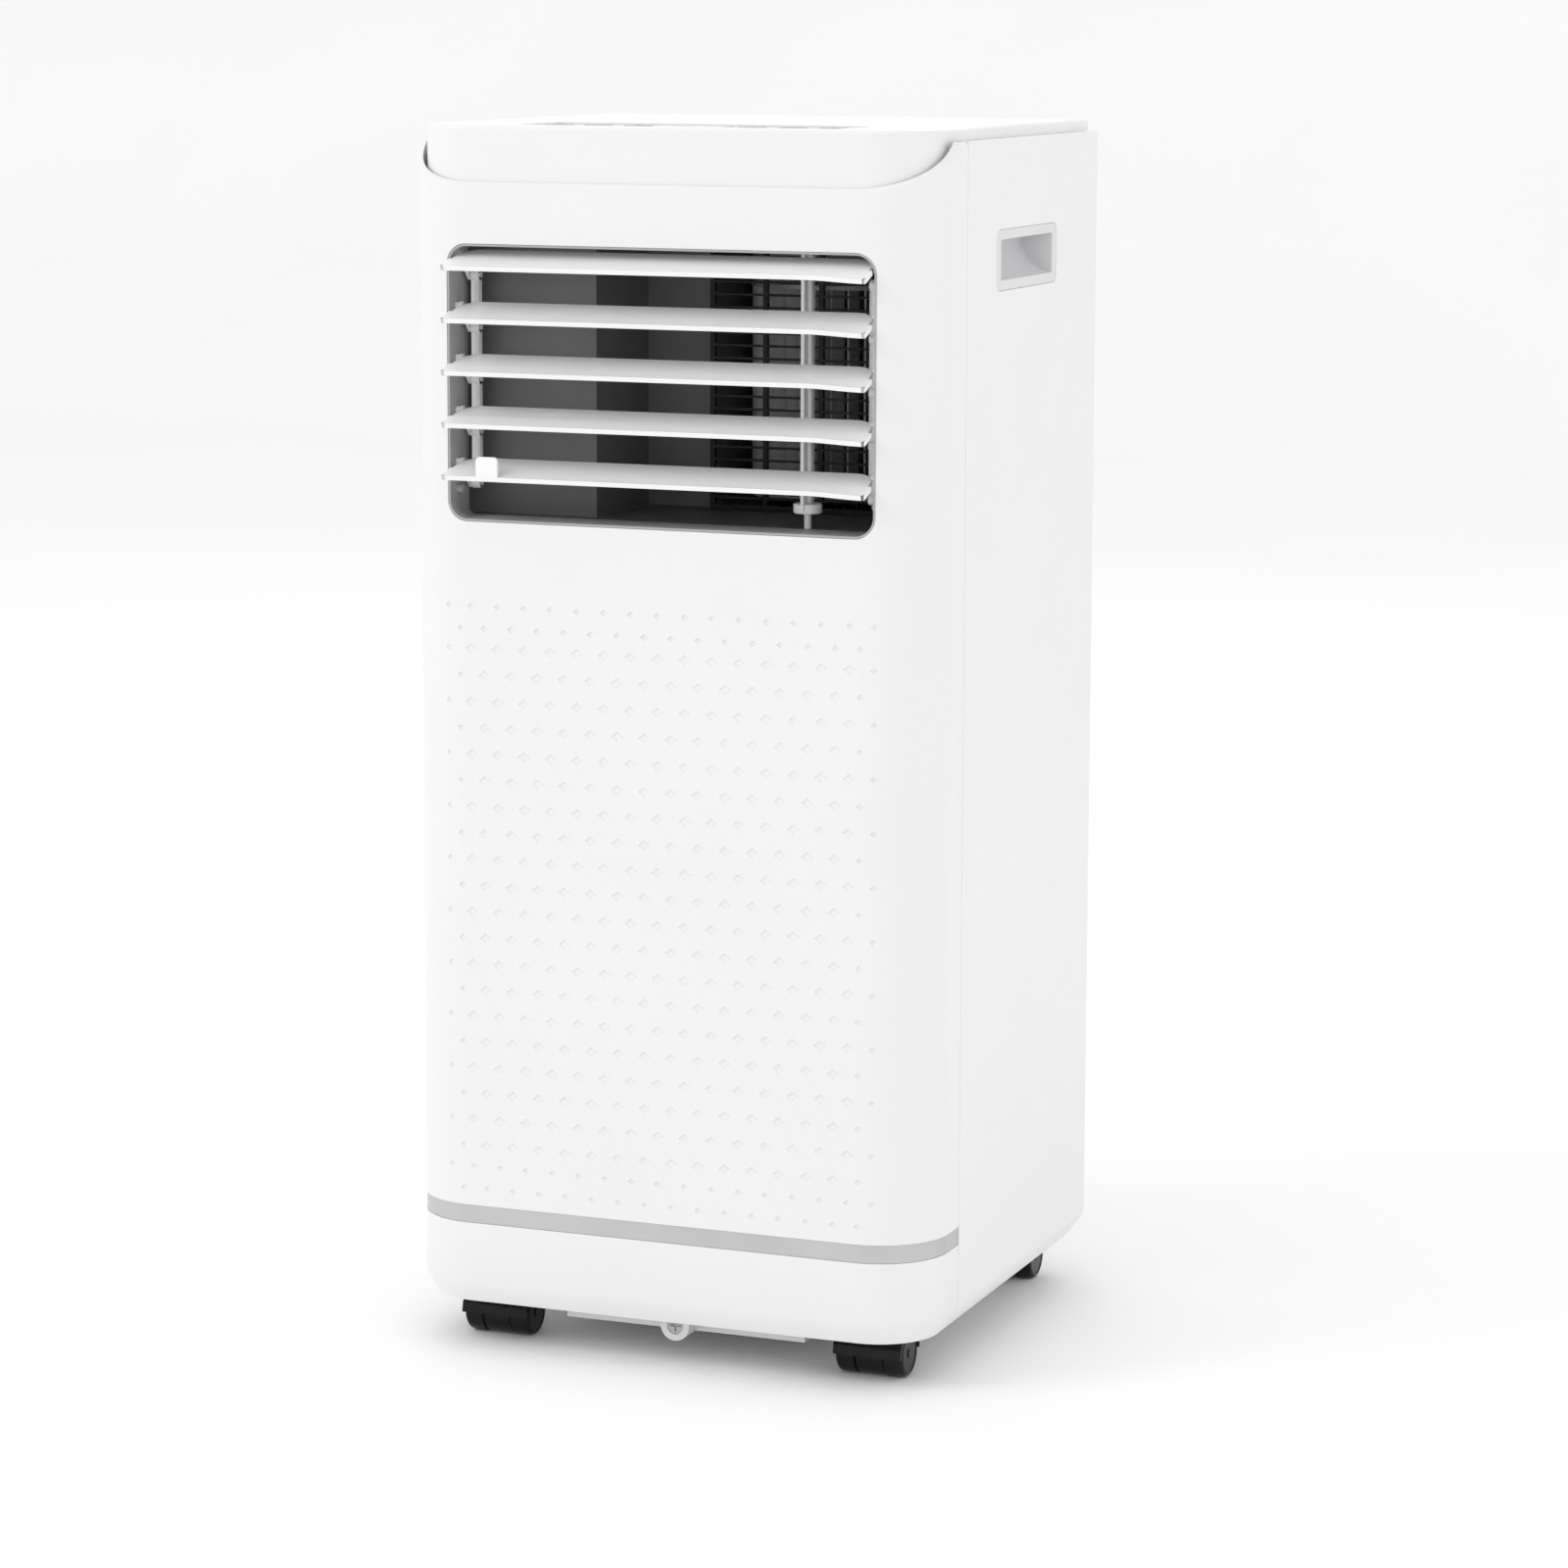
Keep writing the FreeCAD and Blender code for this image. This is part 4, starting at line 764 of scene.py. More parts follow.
FINISHES: dict[str, Moulded | Metal | Banded] = {
    "shell_white": Moulded("gloss_white_shell", WHITE_LIGHT, WHITE_DARK, (0.3, 0.37), coat=0.2),
    "grip_grey": Moulded("satin_grip", (0.70, 0.70, 0.71), (0.65, 0.65, 0.66), (0.4, 0.5), 1600.0),
    "louver_white": Moulded("satin_louver", (0.86, 0.86, 0.86), (0.84, 0.841, 0.845), (0.36, 0.44), 1900.0),
    # The frame's grey is painted shade: its inner wall in the louver opening looks grey from shade, and this
    # colour stands in for it.
    "frame_grey": Moulded("grey_frame", (0.42, 0.42, 0.425), (0.38, 0.38, 0.385), (0.42, 0.52), 1500.0),
    "duct_black": Moulded("black_duct", (0.13, 0.13, 0.132), (0.105, 0.105, 0.107), (0.45, 0.6), 1300.0),
    "wheel_grey": Moulded("grey_blower", (0.34, 0.34, 0.345), (0.28, 0.28, 0.285), (0.45, 0.58), 1500.0),
    "silver_trim": Metal(
        "brushed_silver", (0.56, 0.56, 0.57), (0.52, 0.52, 0.53), (0.29, 0.36), (0.02, 0.02, 1.0), 2600.0
    ),
    "control_dark": Moulded(
        "dark_window", (0.012, 0.013, 0.015), (0.008, 0.009, 0.010), (0.06, 0.12), 900.0, coat=0.6
    ),
    "control_grey": Moulded(
        "soft_grey_control", (0.56, 0.57, 0.58), (0.52, 0.53, 0.54), (0.38, 0.46), 1800.0
    ),
    "circuit_green": Moulded("laminate_green", (0.03, 0.16, 0.07), (0.02, 0.11, 0.05), (0.35, 0.5), 1200.0),
    "motor_steel": Metal(
        "rolled_steel", (0.42, 0.43, 0.44), (0.33, 0.34, 0.35), (0.35, 0.5), (1.0, 1.0, 0.05)
    ),
    # Fin colour: light on the fin edges, dark between them as painted shade in the gaps between fins.
    "fin_aluminium": Banded(
        "fin_stack", (0.72, 0.73, 0.74), (0.22, 0.23, 0.24), 1.8 * MM, (Axis.X,), 0.6 * MM, metallic=0.9
    ),
    "deck_white": Moulded("matt_white_deck", (0.66, 0.67, 0.67), (0.6, 0.61, 0.61), (0.5, 0.62), 1400.0),
    # Screen colour: dark between the wires as painted shade in the openings, which are not cut.
    "filter_mesh": Banded(
        "woven_screen", (0.12, 0.12, 0.13), (0.02, 0.02, 0.022), 1.6 * MM, (Axis.X, Axis.Z), 0.5 * MM
    ),
    "compressor_black": Metal(
        "black_enamel", (0.016, 0.016, 0.017), (0.011, 0.011, 0.012), (0.3, 0.42), grain=260.0, metallic=0.0
    ),
    "pipe_copper": Metal("drawn_copper", (0.72, 0.35, 0.22), (0.56, 0.26, 0.16), (0.29, 0.4), grain=500.0),
    "plug_dark": Moulded(
        "rubber_plug", (0.018, 0.018, 0.019), (0.012, 0.012, 0.013), (0.55, 0.7), 1500.0, specular=0.3
    ),
    "screw_steel": Metal("plated_screw", (0.5, 0.5, 0.51), (0.4, 0.4, 0.41), (0.29, 0.42), grain=1200.0),
    "caster_black": Moulded(
        "gloss_black_caster", (0.007, 0.007, 0.0075), (0.004, 0.004, 0.0045), (0.12, 0.2), 1400.0,
        specular=0.22,
    ),
}


class Workshop:
    """Keeps the finishes and hands every piece its material, body and slot."""

    def __init__(self, scene_frame: dict) -> None:
        """Make each slot's material and look up each node's body and slot.

        Args:
            scene_frame: what loading the frame gave.
        """
        self.nodes: dict[str, bpy.types.Object] = scene_frame["nodes"]
        self.materials = {slot: finish.make() for slot, finish in FINISHES.items()}
        self.body_of = {
            node: body
            for body, members in scene_frame["record"]["behaviour"]["bodies"].items()
            for node in members
        }
        self.slot_of = {name: node.data.materials[0].name for name, node in self.nodes.items()}
        self.replaced: set[str] = set()

    def dress(
        self,
        piece: bpy.types.Object,
        *stands_for: str,
        body: str | None = None,
        slot: str | None = None,
        angle: float = 38.0,
    ) -> bpy.types.Object:
        """Finish a piece: smooth it, give it its material, and ride it on its body.

        Args:
            piece: the finished mesh.
            stands_for: the CAD nodes that it replaces.
            body: the body it rides on, that of the first replaced node when left out.
            slot: its material slot, that of the first replaced node when left out.
            angle: the shading angle, in degrees.

        Returns:
            The same piece.
        """
        Bench.smooth(piece, angle)
        slot = slot or self.slot_of[stands_for[0]]
        piece.data.materials.clear()
        piece.data.materials.append(self.materials[slot])
        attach(piece, body or self.body_of[stands_for[0]])
        if stands_for:
            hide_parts(*stands_for)
            self.replaced.update(stands_for)
        log.info("%s: %d faces, slot %s", piece.name, len(piece.data.polygons), slot)
        return piece

    def refine(self, node: str, width: float, steps: int = 2, sharp: float = 40.0) -> bpy.types.Object:
        """Model a node's visible twin from its own mesh, merged and with softened edges.

        Args:
            node: the CAD node.
            width: the width of the softened edges.
            steps: how many faces make each one.
            sharp: the least angle of an edge that is softened, in degrees.

        Returns:
            The finished piece, which stands for the node.
        """
        return self.dress(self.twin(node, width, steps, sharp), node, slot=SHOWN_SLOT.get(node))

    def twin(self, node: str, width: float, steps: int = 2, sharp: float = 40.0) -> bpy.types.Object:
        """Copy a node's mesh, merge it into whole faces and soften its edges.

        Args:
            node: the CAD node.
            width: the width of the softened edges.
            steps: how many faces make each one.
            sharp: the least angle of an edge that is softened, in degrees.

        Returns:
            The copy, not yet dressed.
        """
        piece = Bench.copy(self.nodes[node], node + "_finished")
        Bench.select(piece, Part.FACE, lambda *_: True)
        bpy.ops.mesh.customdata_custom_splitnormals_clear()
        bpy.ops.mesh.remove_doubles(threshold=WELD)
        bpy.ops.mesh.mark_sharp(clear=True)
        bpy.ops.mesh.dissolve_limited(angle_limit=FLAT)
        Bench.done()
        Bench.soften(piece, width, steps, sharp)
        return piece

    def coat_nodes(self) -> None:
        """Give every CAD node that still shows its slot's material."""
        for name, node in self.nodes.items():
            if name not in self.replaced:
                for index in range(len(node.data.materials)):
                    node.data.materials[index] = self.materials[self.slot_of[name]]


# ---------------------------------------------------------------- casing


@dataclass
class FrontCover:
    """The white front cover: round corners, swept rim, louver opening, groove and diamonds."""

    half_width: float = 158.75 * MM
    front: float = -140.4 * MM
    seam: float = -81.65 * MM
    past_seam: float = -30.0 * MM
    corner: float = 41.0 * MM
    corner_steps: int = 18
    wall: float = 2.5 * MM
    crease: float = 39.5 * MM
    skirt_inset: float = 6.0 * MM
    skirt_drop: float = 11.5 * MM
    top: float = 691.7 * MM
    rim: float = 667.5 * MM
    rim_flat_half: float = 112.0 * MM
    rim_chamfer: float = 1.9 * MM
    rim_slack: float = 0.3 * MM
    rim_columns: int = 6
    groove: tuple[float, float] = (75.5 * MM, 86.0 * MM)
    groove_depth: float = 1.2 * MM
    opening: Corners = (mm(-127.5, 0, 478.5), mm(127.5, 0, 633.3))
    opening_corner: float = 12.0 * MM
    opening_front: float = 5.0 * MM
    opening_rear: float = -114.4 * MM
    diamond_depth: float = 0.75 * MM
    cutter_front: float = 0.6 * MM
    cutter_tip: float = 0.68
    cutter_taper: float = 0.32
    large: tuple[float, float] = mm(8.2, 6.3)
    small: tuple[float, float] = mm(4.7, 3.9)
    wide_pitch: float = 16.2 * MM
    top_rows: tuple[float, ...] = (430.8, 418.4)
    first_row: float = 406.85
    row_pitch: float = 15.03
    middle_rows: int = 20
    low_rows: tuple[float, ...] = (109.0, 96.0)
    even_end: float = 127.5 * MM
    odd_end: float = 119.7 * MM

    def corner_x(self) -> float:
        """Return where the round corner starts along X."""
        return self.half_width - self.corner

    def rim_height(self, x: float, y: float) -> float:
        """Return the rim's height above a point of the cover's outline.

        Args:
            x: the point's X.
            y: its Y.

        Returns:
            The height, flat in the middle and sweeping up to the seams.
        """
        start = self.corner_x()
        run = start - self.rim_flat_half + self.corner * math.pi / 2
        rise = self.top - self.rim
        if y > self.front + self.corner - NEAR / 10:
            return self.top
        if abs(x) <= start:
            along = abs(x) - self.rim_flat_half
        else:
            angle = math.atan2(abs(x) - start, self.front + self.corner - y)
            along = start - self.rim_flat_half + angle * self.corner
        if along <= 0:
            return self.rim
        radius = (run * run + rise * rise) / (2 * rise)
        return min(self.top, self.rim + radius - math.sqrt(max(0.0, radius * radius - along * along)))

    def sheet(self) -> bpy.types.Object:
        """Model the cover's outer skin, open above, below and behind.

        Returns:
            The sheet, not yet given its wall.
        """
        low = (-self.half_width, self.front, self.crease)
        piece = Bench.block("front_cover_moulded", low, (self.half_width, self.past_seam, self.top))
        Bench.round_edges(
            piece, lambda at, way: abs(way.z) > ALONG and at.y < self.seam, self.corner, self.corner_steps
        )
        Bench.select(piece, Part.FACE, lambda _, normal: normal.z < -ALONG)
        bpy.ops.mesh.inset(thickness=self.skirt_inset, depth=self.skirt_drop)
        Bench.done()
        Bench.trim(piece, (0, self.seam, 0), (0, 1, 0), fill=False)
        Bench.drop_faces(piece, lambda _, normal: abs(normal.z) > ALONG)
        for height in self.groove:
            Bench.slice(piece, (0, 0, height), (0, 0, 1))
        for step in range(self.rim_columns):
            x = self.rim_flat_half + (self.corner_x() - self.rim_flat_half) * step / self.rim_columns
            Bench.slice(piece, (x, 0, 0), (1, 0, 0))
            Bench.slice(piece, (-x, 0, 0), (1, 0, 0))
        for vert in piece.data.vertices:
            if vert.co.z > self.top - NEAR:
                vert.co.z = self.rim_height(vert.co.x, vert.co.y)
        return piece

    def sink_groove(self, piece: bpy.types.Object) -> None:
        """Press the trim groove into the skin.

        Args:
            piece: the cover.
        """
        middle, half = sum(self.groove) / 2, (self.groove[1] - self.groove[0]) / 2
        Bench.select(piece, Part.FACE, lambda at, _: abs(at.z - middle) < half)
        bpy.ops.mesh.extrude_region_shrink_fatten(
            TRANSFORM_OT_shrink_fatten={"value": -self.groove_depth, "use_even_offset": True}
        )
        Bench.done()

    def diamond_rows(self) -> Iterable[tuple[float, list[tuple[float, bool]]]]:
        """Yield each row's height and its diamonds, as their run along the skin and whether small.

        Returns:
            Each row's height, with each diamond's place across and whether it is a large one.
        """
        middle = [self.first_row - self.row_pitch * step for step in range(self.middle_rows)]
        heights = [*self.top_rows, *middle, *self.low_rows]
        last = len(heights) - 1
        for row, height in enumerate(heights):
            small_row = row < 2 or row > last - 2
            if row % 2 == 0:
                runs = [self.wide_pitch * step for step in range(8)] + [self.even_end]
            else:
                runs = [self.wide_pitch * (step + 0.5) for step in range(7)] + [self.odd_end]
            row_marks = []
            for index, run in enumerate(runs):
                small = small_row or index == len(runs) - 1
                row_marks.append((run, small))
                if run > 0:
                    row_marks.append((-run, small))
            yield height * MM, row_marks

    def diamond(self, name: str, size: tuple[float, float]) -> bpy.types.Object:
        """Model one diamond cutter at the origin, pointing along +Y into the skin.

        Args:
            name: the name to give.
            size: the diamond's half width and half height.

        Returns:
            The cutting shape, at the origin.
        """
        above = self.cutter_front
        base = 1.0 + above / self.diamond_depth * self.cutter_taper
        cutter = Bench.cone(name, (0, -above, 0), (0, self.diamond_depth, 0), base, self.cutter_tip, 4)
        cutter.scale = (size[0] / 2, 1, size[1] / 2)
        return Bench.settle(cutter)

    def cut_diamonds(self, piece: bpy.types.Object) -> None:
        """Sink the rows of shallow diamonds into the front.

        Args:
            piece: the cover.
        """
        models = {
            False: self.diamond("large_diamond", self.large),
            True: self.diamond("small_diamond", self.small),
        }
        cutters = []
        for height, marks in self.diamond_rows():
            for run, small in marks:
                past = abs(run) - self.corner_x()
                twin = models[small].copy()
                twin.data = models[small].data.copy()
                bpy.context.scene.collection.objects.link(twin)
                if past <= 0:
                    twin.location = (run, self.front, height)
                else:
                    side = math.copysign(1.0, run)
                    angle = math.asin(min(1.0, past / self.corner))
                    x = self.corner_x() + self.corner * math.sin(angle)
                    y = self.front + self.corner * (1 - math.cos(angle))
                    twin.location = (side * x, y, height)
                    twin.rotation_euler = (0, 0, side * angle)
                cutters.append(twin)
        for model in models.values():
            bpy.data.objects.remove(model, do_unlink=True)
        Bench.only(*cutters)
        bpy.ops.object.transform_apply(location=True, rotation=True, scale=True)
        Bench.cut(piece, Bench.join(cutters, "diamonds"))

    def round_rim(self, piece: bpy.types.Object) -> None:
        """Chamfer the outer edge of the swept rim.

        Args:
            piece: the cover.
        """
        margin = 0.02 * MM

        def on_rim(point: Vector) -> bool:
            """Say whether a point lies on the swept rim."""
            return abs(point.z - self.rim_height(point.x, point.y)) < margin

        def outside(point: Vector) -> bool:
            """Say whether a point lies on the cover's outer side.

            Args:
                point: the point.

            Returns:
                Whether it does.
            """
            past = abs(point.x) - self.corner_x()
            if point.y > self.front + self.corner:
                return abs(point.x) > self.half_width - margin
            if past <= 0:
                return point.y < self.front + margin
            return math.hypot(past, self.front + self.corner - point.y) > self.corner - self.rim_slack

        Bench.select(piece, Part.VERT, lambda at, _: on_rim(at) and outside(at))
        Bench.done()
        chosen = {vert.index for vert in piece.data.vertices if vert.select}
        bpy.ops.object.mode_set(mode="EDIT")
        bpy.ops.mesh.select_mode(type="EDGE")
        bpy.ops.mesh.select_all(action="DESELECT")
        Bench.done()
        for edge in piece.data.edges:
            edge.select = all(index in chosen for index in edge.vertices)
        bpy.ops.object.mode_set(mode="EDIT")
        bpy.ops.mesh.bevel(
            offset_type="OFFSET", offset=self.rim_chamfer, segments=2, profile=0.35, affect="EDGES"
        )
        Bench.done()

    def build(self, workshop: Workshop) -> None:
        """Model the cover and dress it.

        Args:
            workshop: the finishes and the places of the CAD nodes.
        """
        piece = self.sheet()
        self.sink_groove(piece)
        Bench.outward(piece)
        Bench.modify(piece, "SOLIDIFY", thickness=self.wall, offset=-1.0, use_even_offset=True)
        self.round_rim(piece)
        low, high = self.opening
        hole = Bench.pillow(
            "opening", (low[0], self.front - self.opening_front, low[2]),
            (high[0], self.opening_rear, high[2]),
            Axis.Y, self.opening_corner, 10,
        )
        Bench.cut(piece, hole)
        self.cut_diamonds(piece)
        workshop.dress(piece, "front_cover", angle=30)


# ---------------------------------------------------------------- louvers


@dataclass
class Louvers:
    """Five tilting slats, their upright link bars and the turning vane."""

    count: int = 5
    pitch: float = 29.1 * MM
    pivot_y: float = -129.5 * MM
    top_z: float = 627.2 * MM
    tilt: float = math.radians(17.5)
    half: float = 125.4 * MM
    tail_half: float = 123.4 * MM
    step_y: float = -140.8 * MM
    reach: float = 23.56 * MM
    tail: float = 4.2 * MM
    front_wall: float = 2.8 * MM
    rear_wall: float = 1.8 * MM
    corner: float = 12.0 * MM
    front_corner: float = 2.0 * MM
    bead_drop: float = 0.35 * MM
    blade_round: float = 0.7 * MM
    droop: float = 1.5 * MM
    droop_run: float = 34.0 * MM
    droop_steps: int = 7
    pin: float = 2.0 * MM
    pin_reach: float = 4.7 * MM
    link_pin: float = 1.5 * MM
    link_gap: float = 0.05 * MM
    lug_back: float = 11.0 * MM
    lug_down: float = 12.5 * MM
    lug_inset: float = 1.4 * MM
    lug_wall: float = 2.2 * MM
    lug_front: float = 2.0 * MM
    lug_half: float = 2.4 * MM
    lug_end: float = 2.9 * MM
    lug_corner: float = 2.0 * MM
    rib_inset: float = 0.3 * MM
    rib: Corners = (mm(0, 2.0, -3.4), mm(0, 8.0, 2.0))
    rib_corner: float = 1.0 * MM
    edge_round: float = 0.35 * MM
    fine_round: float = 0.3 * MM
    tie_outer: float = 121.4 * MM
    tie_width: float = 5.0 * MM
    tie_depth: float = 4.0 * MM
    tie_side_gap: float = 0.4 * MM
    tie_end: float = 3.0 * MM
    tie_corner: float = 1.6 * MM
    channel_rim: float = 1.1 * MM
    channel_depth: float = 0.7 * MM
    eye_radius: float = 3.2 * MM
    bead_depth: float = 2.3 * MM
    tab: Corners = (mm(-104.7, -152.1, -23.2), mm(-91.3, -149.7, -10.7))
    tab_rise: float = 16.0 * MM
    tab_corner: float = 2.5 * MM
    tab_round: float = 0.6 * MM
    vane_x: float = 77.5 * MM
    vane_y: float = -111.2 * MM
    vane_low: float = 490.0 * MM
    vane_high: float = 631.3 * MM
    vane_half: float = 1.1 * MM
    vane_front: float = 9.5 * MM
    vane_back: float = 7.5 * MM
    vane_corner: float = 0.9 * MM
    vane_round: float = 0.4 * MM
    spine_half: float = 2.6 * MM
    spine_deep: float = 3.0 * MM
    spine_corner: float = 2.2 * MM
    foot_low: float = 488.4 * MM
    foot_high: float = 493.9 * MM
    foot_radius: float = 8.0 * MM
    foot_round: float = 0.9 * MM
    spindle_low: float = 478.4 * MM
    spindle_high: float = 633.4 * MM

    def blade(self, name: str) -> bpy.types.Object:
        """Model one slat's blade level at the top pivot, then tilt it.

        Args:
            name: the name to give.

        Returns:
            The blade, tilted.
        """
        y0, y1 = self.pivot_y - self.reach, self.pivot_y + self.tail
        z = self.top_z
        thick = self.front_wall / 2
        piece = Bench.block(name, (-self.half, y0, z - thick), (self.half, y1, z + thick))
        step = self.pivot_y + (self.step_y - self.pivot_y) / math.cos(self.tilt)
        Bench.slice(piece, (0, step, 0), (0, 1, 0))
        Bench.slice(piece, (0, y0 + self.bead_depth, 0), (0, 1, 0))
        for side in (-1, 1):
            Bench.slice(piece, (side * self.tail_half, 0, 0), (1, 0, 0))
        Bench.drop_faces(piece, lambda at, _: abs(at.x) > self.tail_half and at.y > step)
        Bench.select(piece, Part.EDGE, lambda *_: True)
        bpy.ops.mesh.select_all(action="DESELECT")
        bpy.ops.mesh.select_non_manifold()
        bpy.ops.mesh.edge_face_add()
        Bench.done()
        Bench.outward(piece)
        Bench.round_edges(
            piece, lambda at, way: abs(way.z) > ALONG and at.y > y1 - NEAR, self.corner, 10
        )
        Bench.round_edges(
            piece, lambda at, way: abs(way.z) > ALONG and at.y < y0 + NEAR, self.front_corner, 4
        )
        slim = self.front_wall - self.rear_wall
        for vert in piece.data.vertices:
            back = max(0.0, min(1.0, (vert.co.y - y0 - self.bead_depth) / (y1 - y0 - self.bead_depth)))
            vert.co.z -= math.copysign(slim / 2 * back, vert.co.z - z)
        Bench.select(
            piece, Part.EDGE,
            lambda at, way: abs(at.y - y0 - self.bead_depth) < NEAR / 2 and abs(way.x) > ALONG and at.z > z,
        )
        bpy.ops.mesh.bevel(offset_type="OFFSET", offset=self.bead_drop, segments=1, affect="EDGES")
        bpy.ops.transform.translate(value=(0, 0, -self.bead_drop))
        Bench.done()
        Bench.soften(piece, self.blade_round, 3, 50.0)
        self.bend(piece, y0, y1)
        Bench.turn(piece, (0, self.pivot_y, z), self.tilt, Axis.X)
        return piece

    def bend(self, piece: bpy.types.Object, y0: float, y1: float) -> None:
        """Lower the front of a level blade's right end in a smooth curve.

        Args:
            piece: the blade, level.
            y0: its front.
            y1: its back.
        """
        start = self.half - self.droop_run
        for step_in in range(self.droop_steps):
            Bench.slice(piece, (start + self.droop_run * step_in / self.droop_steps, 0, 0), (1, 0, 0))
        for part in range(1, 4):
            Bench.slice(piece, (0, y0 + (y1 - y0) * part / 4, 0), (0, 1, 0))
        for vert in piece.data.vertices:
            out = max(0.0, vert.co.x - start) / self.droop_run
            front = max(0.0, min(1.0, (y1 - vert.co.y) / (y1 - y0)))
            vert.co.z -= self.droop * out * out * (3.0 - 2.0 * out) * front

    def lug(self, side: int) -> list[bpy.types.Object]:
        """Model the stepped lug, its pins and its pads at one end of the top slat.

        Args:
            side: -1 for the left end and 1 for the right.

        Returns:
            The arm, its step, its link pin and its pivot pin.
        """
        z, y = self.top_z, self.pivot_y
        outer = side * (self.half - self.lug_inset)
        inner = outer - side * self.lug_wall
        x0, x1 = sorted((outer, inner))
        angle = math.atan2(-self.lug_down, self.lug_back)
        run = math.hypot(self.lug_back, self.lug_down)
        arm = Bench.pillow(
            "lug", (x0, y - self.lug_front, z - self.lug_half),
            (x1, y + run + self.lug_end, z + self.lug_half), Axis.X, self.lug_corner, 5,
        )
        low, high = self.rib
        rib = Bench.pillow(
            "rib", (x0 + self.rib_inset, y + low[1], z + low[2]),
            (x1 - self.rib_inset, y + high[1], z + high[2]), Axis.X, self.rib_corner, 3,
        )
        for shape in (arm, rib):
            Bench.soften(shape, self.edge_round, 2)
            Bench.turn(shape, (0, y, z), angle, Axis.X)
        end = (y + self.lug_back, z - self.lug_down)
        reach = self.tie_outer - self.tie_width - self.tie_side_gap
        link = Bench.cone("link_pin", (outer, *end), (side * reach, *end), self.link_pin, sides=24)
        pivot = Bench.cone(
            "pivot_pin", (inner, y, z), (side * (self.half + self.pin_reach), y, z), self.pin, sides=24
        )
        for shape in (link, pivot):
            Bench.soften(shape, self.fine_round, 2)
        return [arm, rib, link, pivot]

    def build_slats(self, workshop: Workshop) -> None:
        """Model the top slat, copy it down, and give the lowest one its thumb tab.

        Args:
            workshop: the finishes and the places of the CAD nodes.
        """
        parts = [self.blade("blade")] + self.lug(-1) + self.lug(1)
        for index in range(1, self.count):
            drop = -self.pitch * index
            copies = [Bench.copy(part, "slat_copy", (0, 0, drop)) for part in parts]
            if index == self.count - 1:
                low, high = self.tab
                z = self.top_z + drop + self.tab_rise
                tab = Bench.pillow(
                    "tab", (low[0], low[1], z + low[2]), (high[0], high[1], z + high[2]),
                    Axis.Y, self.tab_corner, 6,
                )
                Bench.soften(tab, self.tab_round, 3)
                copies.append(tab)
            self.finish_slat(workshop, copies, index)
        self.finish_slat(workshop, parts, 0)

    def finish_slat(self, workshop: Workshop, parts: list[bpy.types.Object], index: int) -> None:
        """Join one slat's shapes and dress them.

        Args:
            workshop: the finishes and the places of the CAD nodes.
            parts: the slat's shapes.
            index: its number from the top, from 0.
        """
        node = f"slat_{index + 1}"
        workshop.dress(Bench.join(parts, node + "_moulded"), node)

    def build_links(self, workshop: Workshop) -> None:
        """Model the two channel-shaped link bars with their eyes.

        Args:
            workshop: the finishes and the places of the CAD nodes.
        """
        y = self.pivot_y + self.lug_back
        top = self.top_z - self.lug_down
        low = top - self.pitch * (self.count - 1)
        for side, node in ((-1, "tie_bar_left"), (1, "tie_bar_right")):
            x0, x1 = sorted((side * self.tie_outer, side * (self.tie_outer - self.tie_width)))
            bar = Bench.pillow(
                node + "_moulded", (x0, y - self.tie_depth / 2, low - self.tie_end),
                (x1, y + self.tie_depth / 2, top + self.tie_end), Axis.X, self.tie_corner, 4,
            )
            Bench.select(bar, Part.FACE, lambda _, normal: normal.y < -ALONG)
            bpy.ops.mesh.inset(thickness=self.channel_rim, depth=-self.channel_depth)
            Bench.done()
            Bench.soften(bar, self.fine_round, 2)
            eyes = []
            for index in range(self.count):
                z = top - self.pitch * index
                eye = Bench.cone("eye", (x0, y, z), (x1, y, z), self.eye_radius, sides=32)
                Bench.soften(eye, self.fine_round, 2)
                radius = self.link_pin + self.link_gap
                bore = Bench.cone("bore", (x0 - MM, y, z), (x1 + MM, y, z), radius, sides=24)
                Bench.cut(eye, Bench.copy(bore, "eye_bore"))
                Bench.cut(bar, bore)
                eyes.append(eye)
            workshop.dress(Bench.join([bar] + eyes, node + "_moulded"), node)

    def build_vane(self, workshop: Workshop) -> None:
        """Model the upright vane with its rolled front edge and round foot.

        Args:
            workshop: the finishes and the places of the CAD nodes.
        """
        x, y = self.vane_x, self.vane_y
        low, high = self.vane_low, self.vane_high
        blade = Bench.pillow(
            "vertical_vane_moulded", (x - self.vane_half, y - self.vane_front, low),
            (x + self.vane_half, y + self.vane_back, high), Axis.Z, self.vane_corner, 4,
        )
        spine = Bench.pillow(
            "spine", (x - self.spine_half, y - self.spine_deep, low),
            (x + self.spine_half, y + self.spine_deep, high), Axis.Z, self.spine_corner, 6,
        )
        disc = Bench.cone("disc", (x, y, self.foot_low), (x, y, self.foot_high), self.foot_radius, sides=48)
        Bench.soften(disc, self.foot_round, 3)
        spindle = Bench.cone(
            "spindle", (x, y, self.spindle_low), (x, y, self.spindle_high), self.pin, sides=24
        )
        for shape in (blade, spine):
            Bench.soften(shape, self.vane_round, 2)
        workshop.dress(Bench.join([blade, spine, disc, spindle], "vertical_vane_moulded"), "vertical_vane")

    def build(self, workshop: Workshop) -> None:
        """Model the slats, the link bars and the vane.

        Args:
            workshop: the finishes and the places of the CAD nodes.
        """
        self.build_slats(workshop)
        self.build_links(workshop)
        self.build_vane(workshop)


# ---------------------------------------------------------------- casters


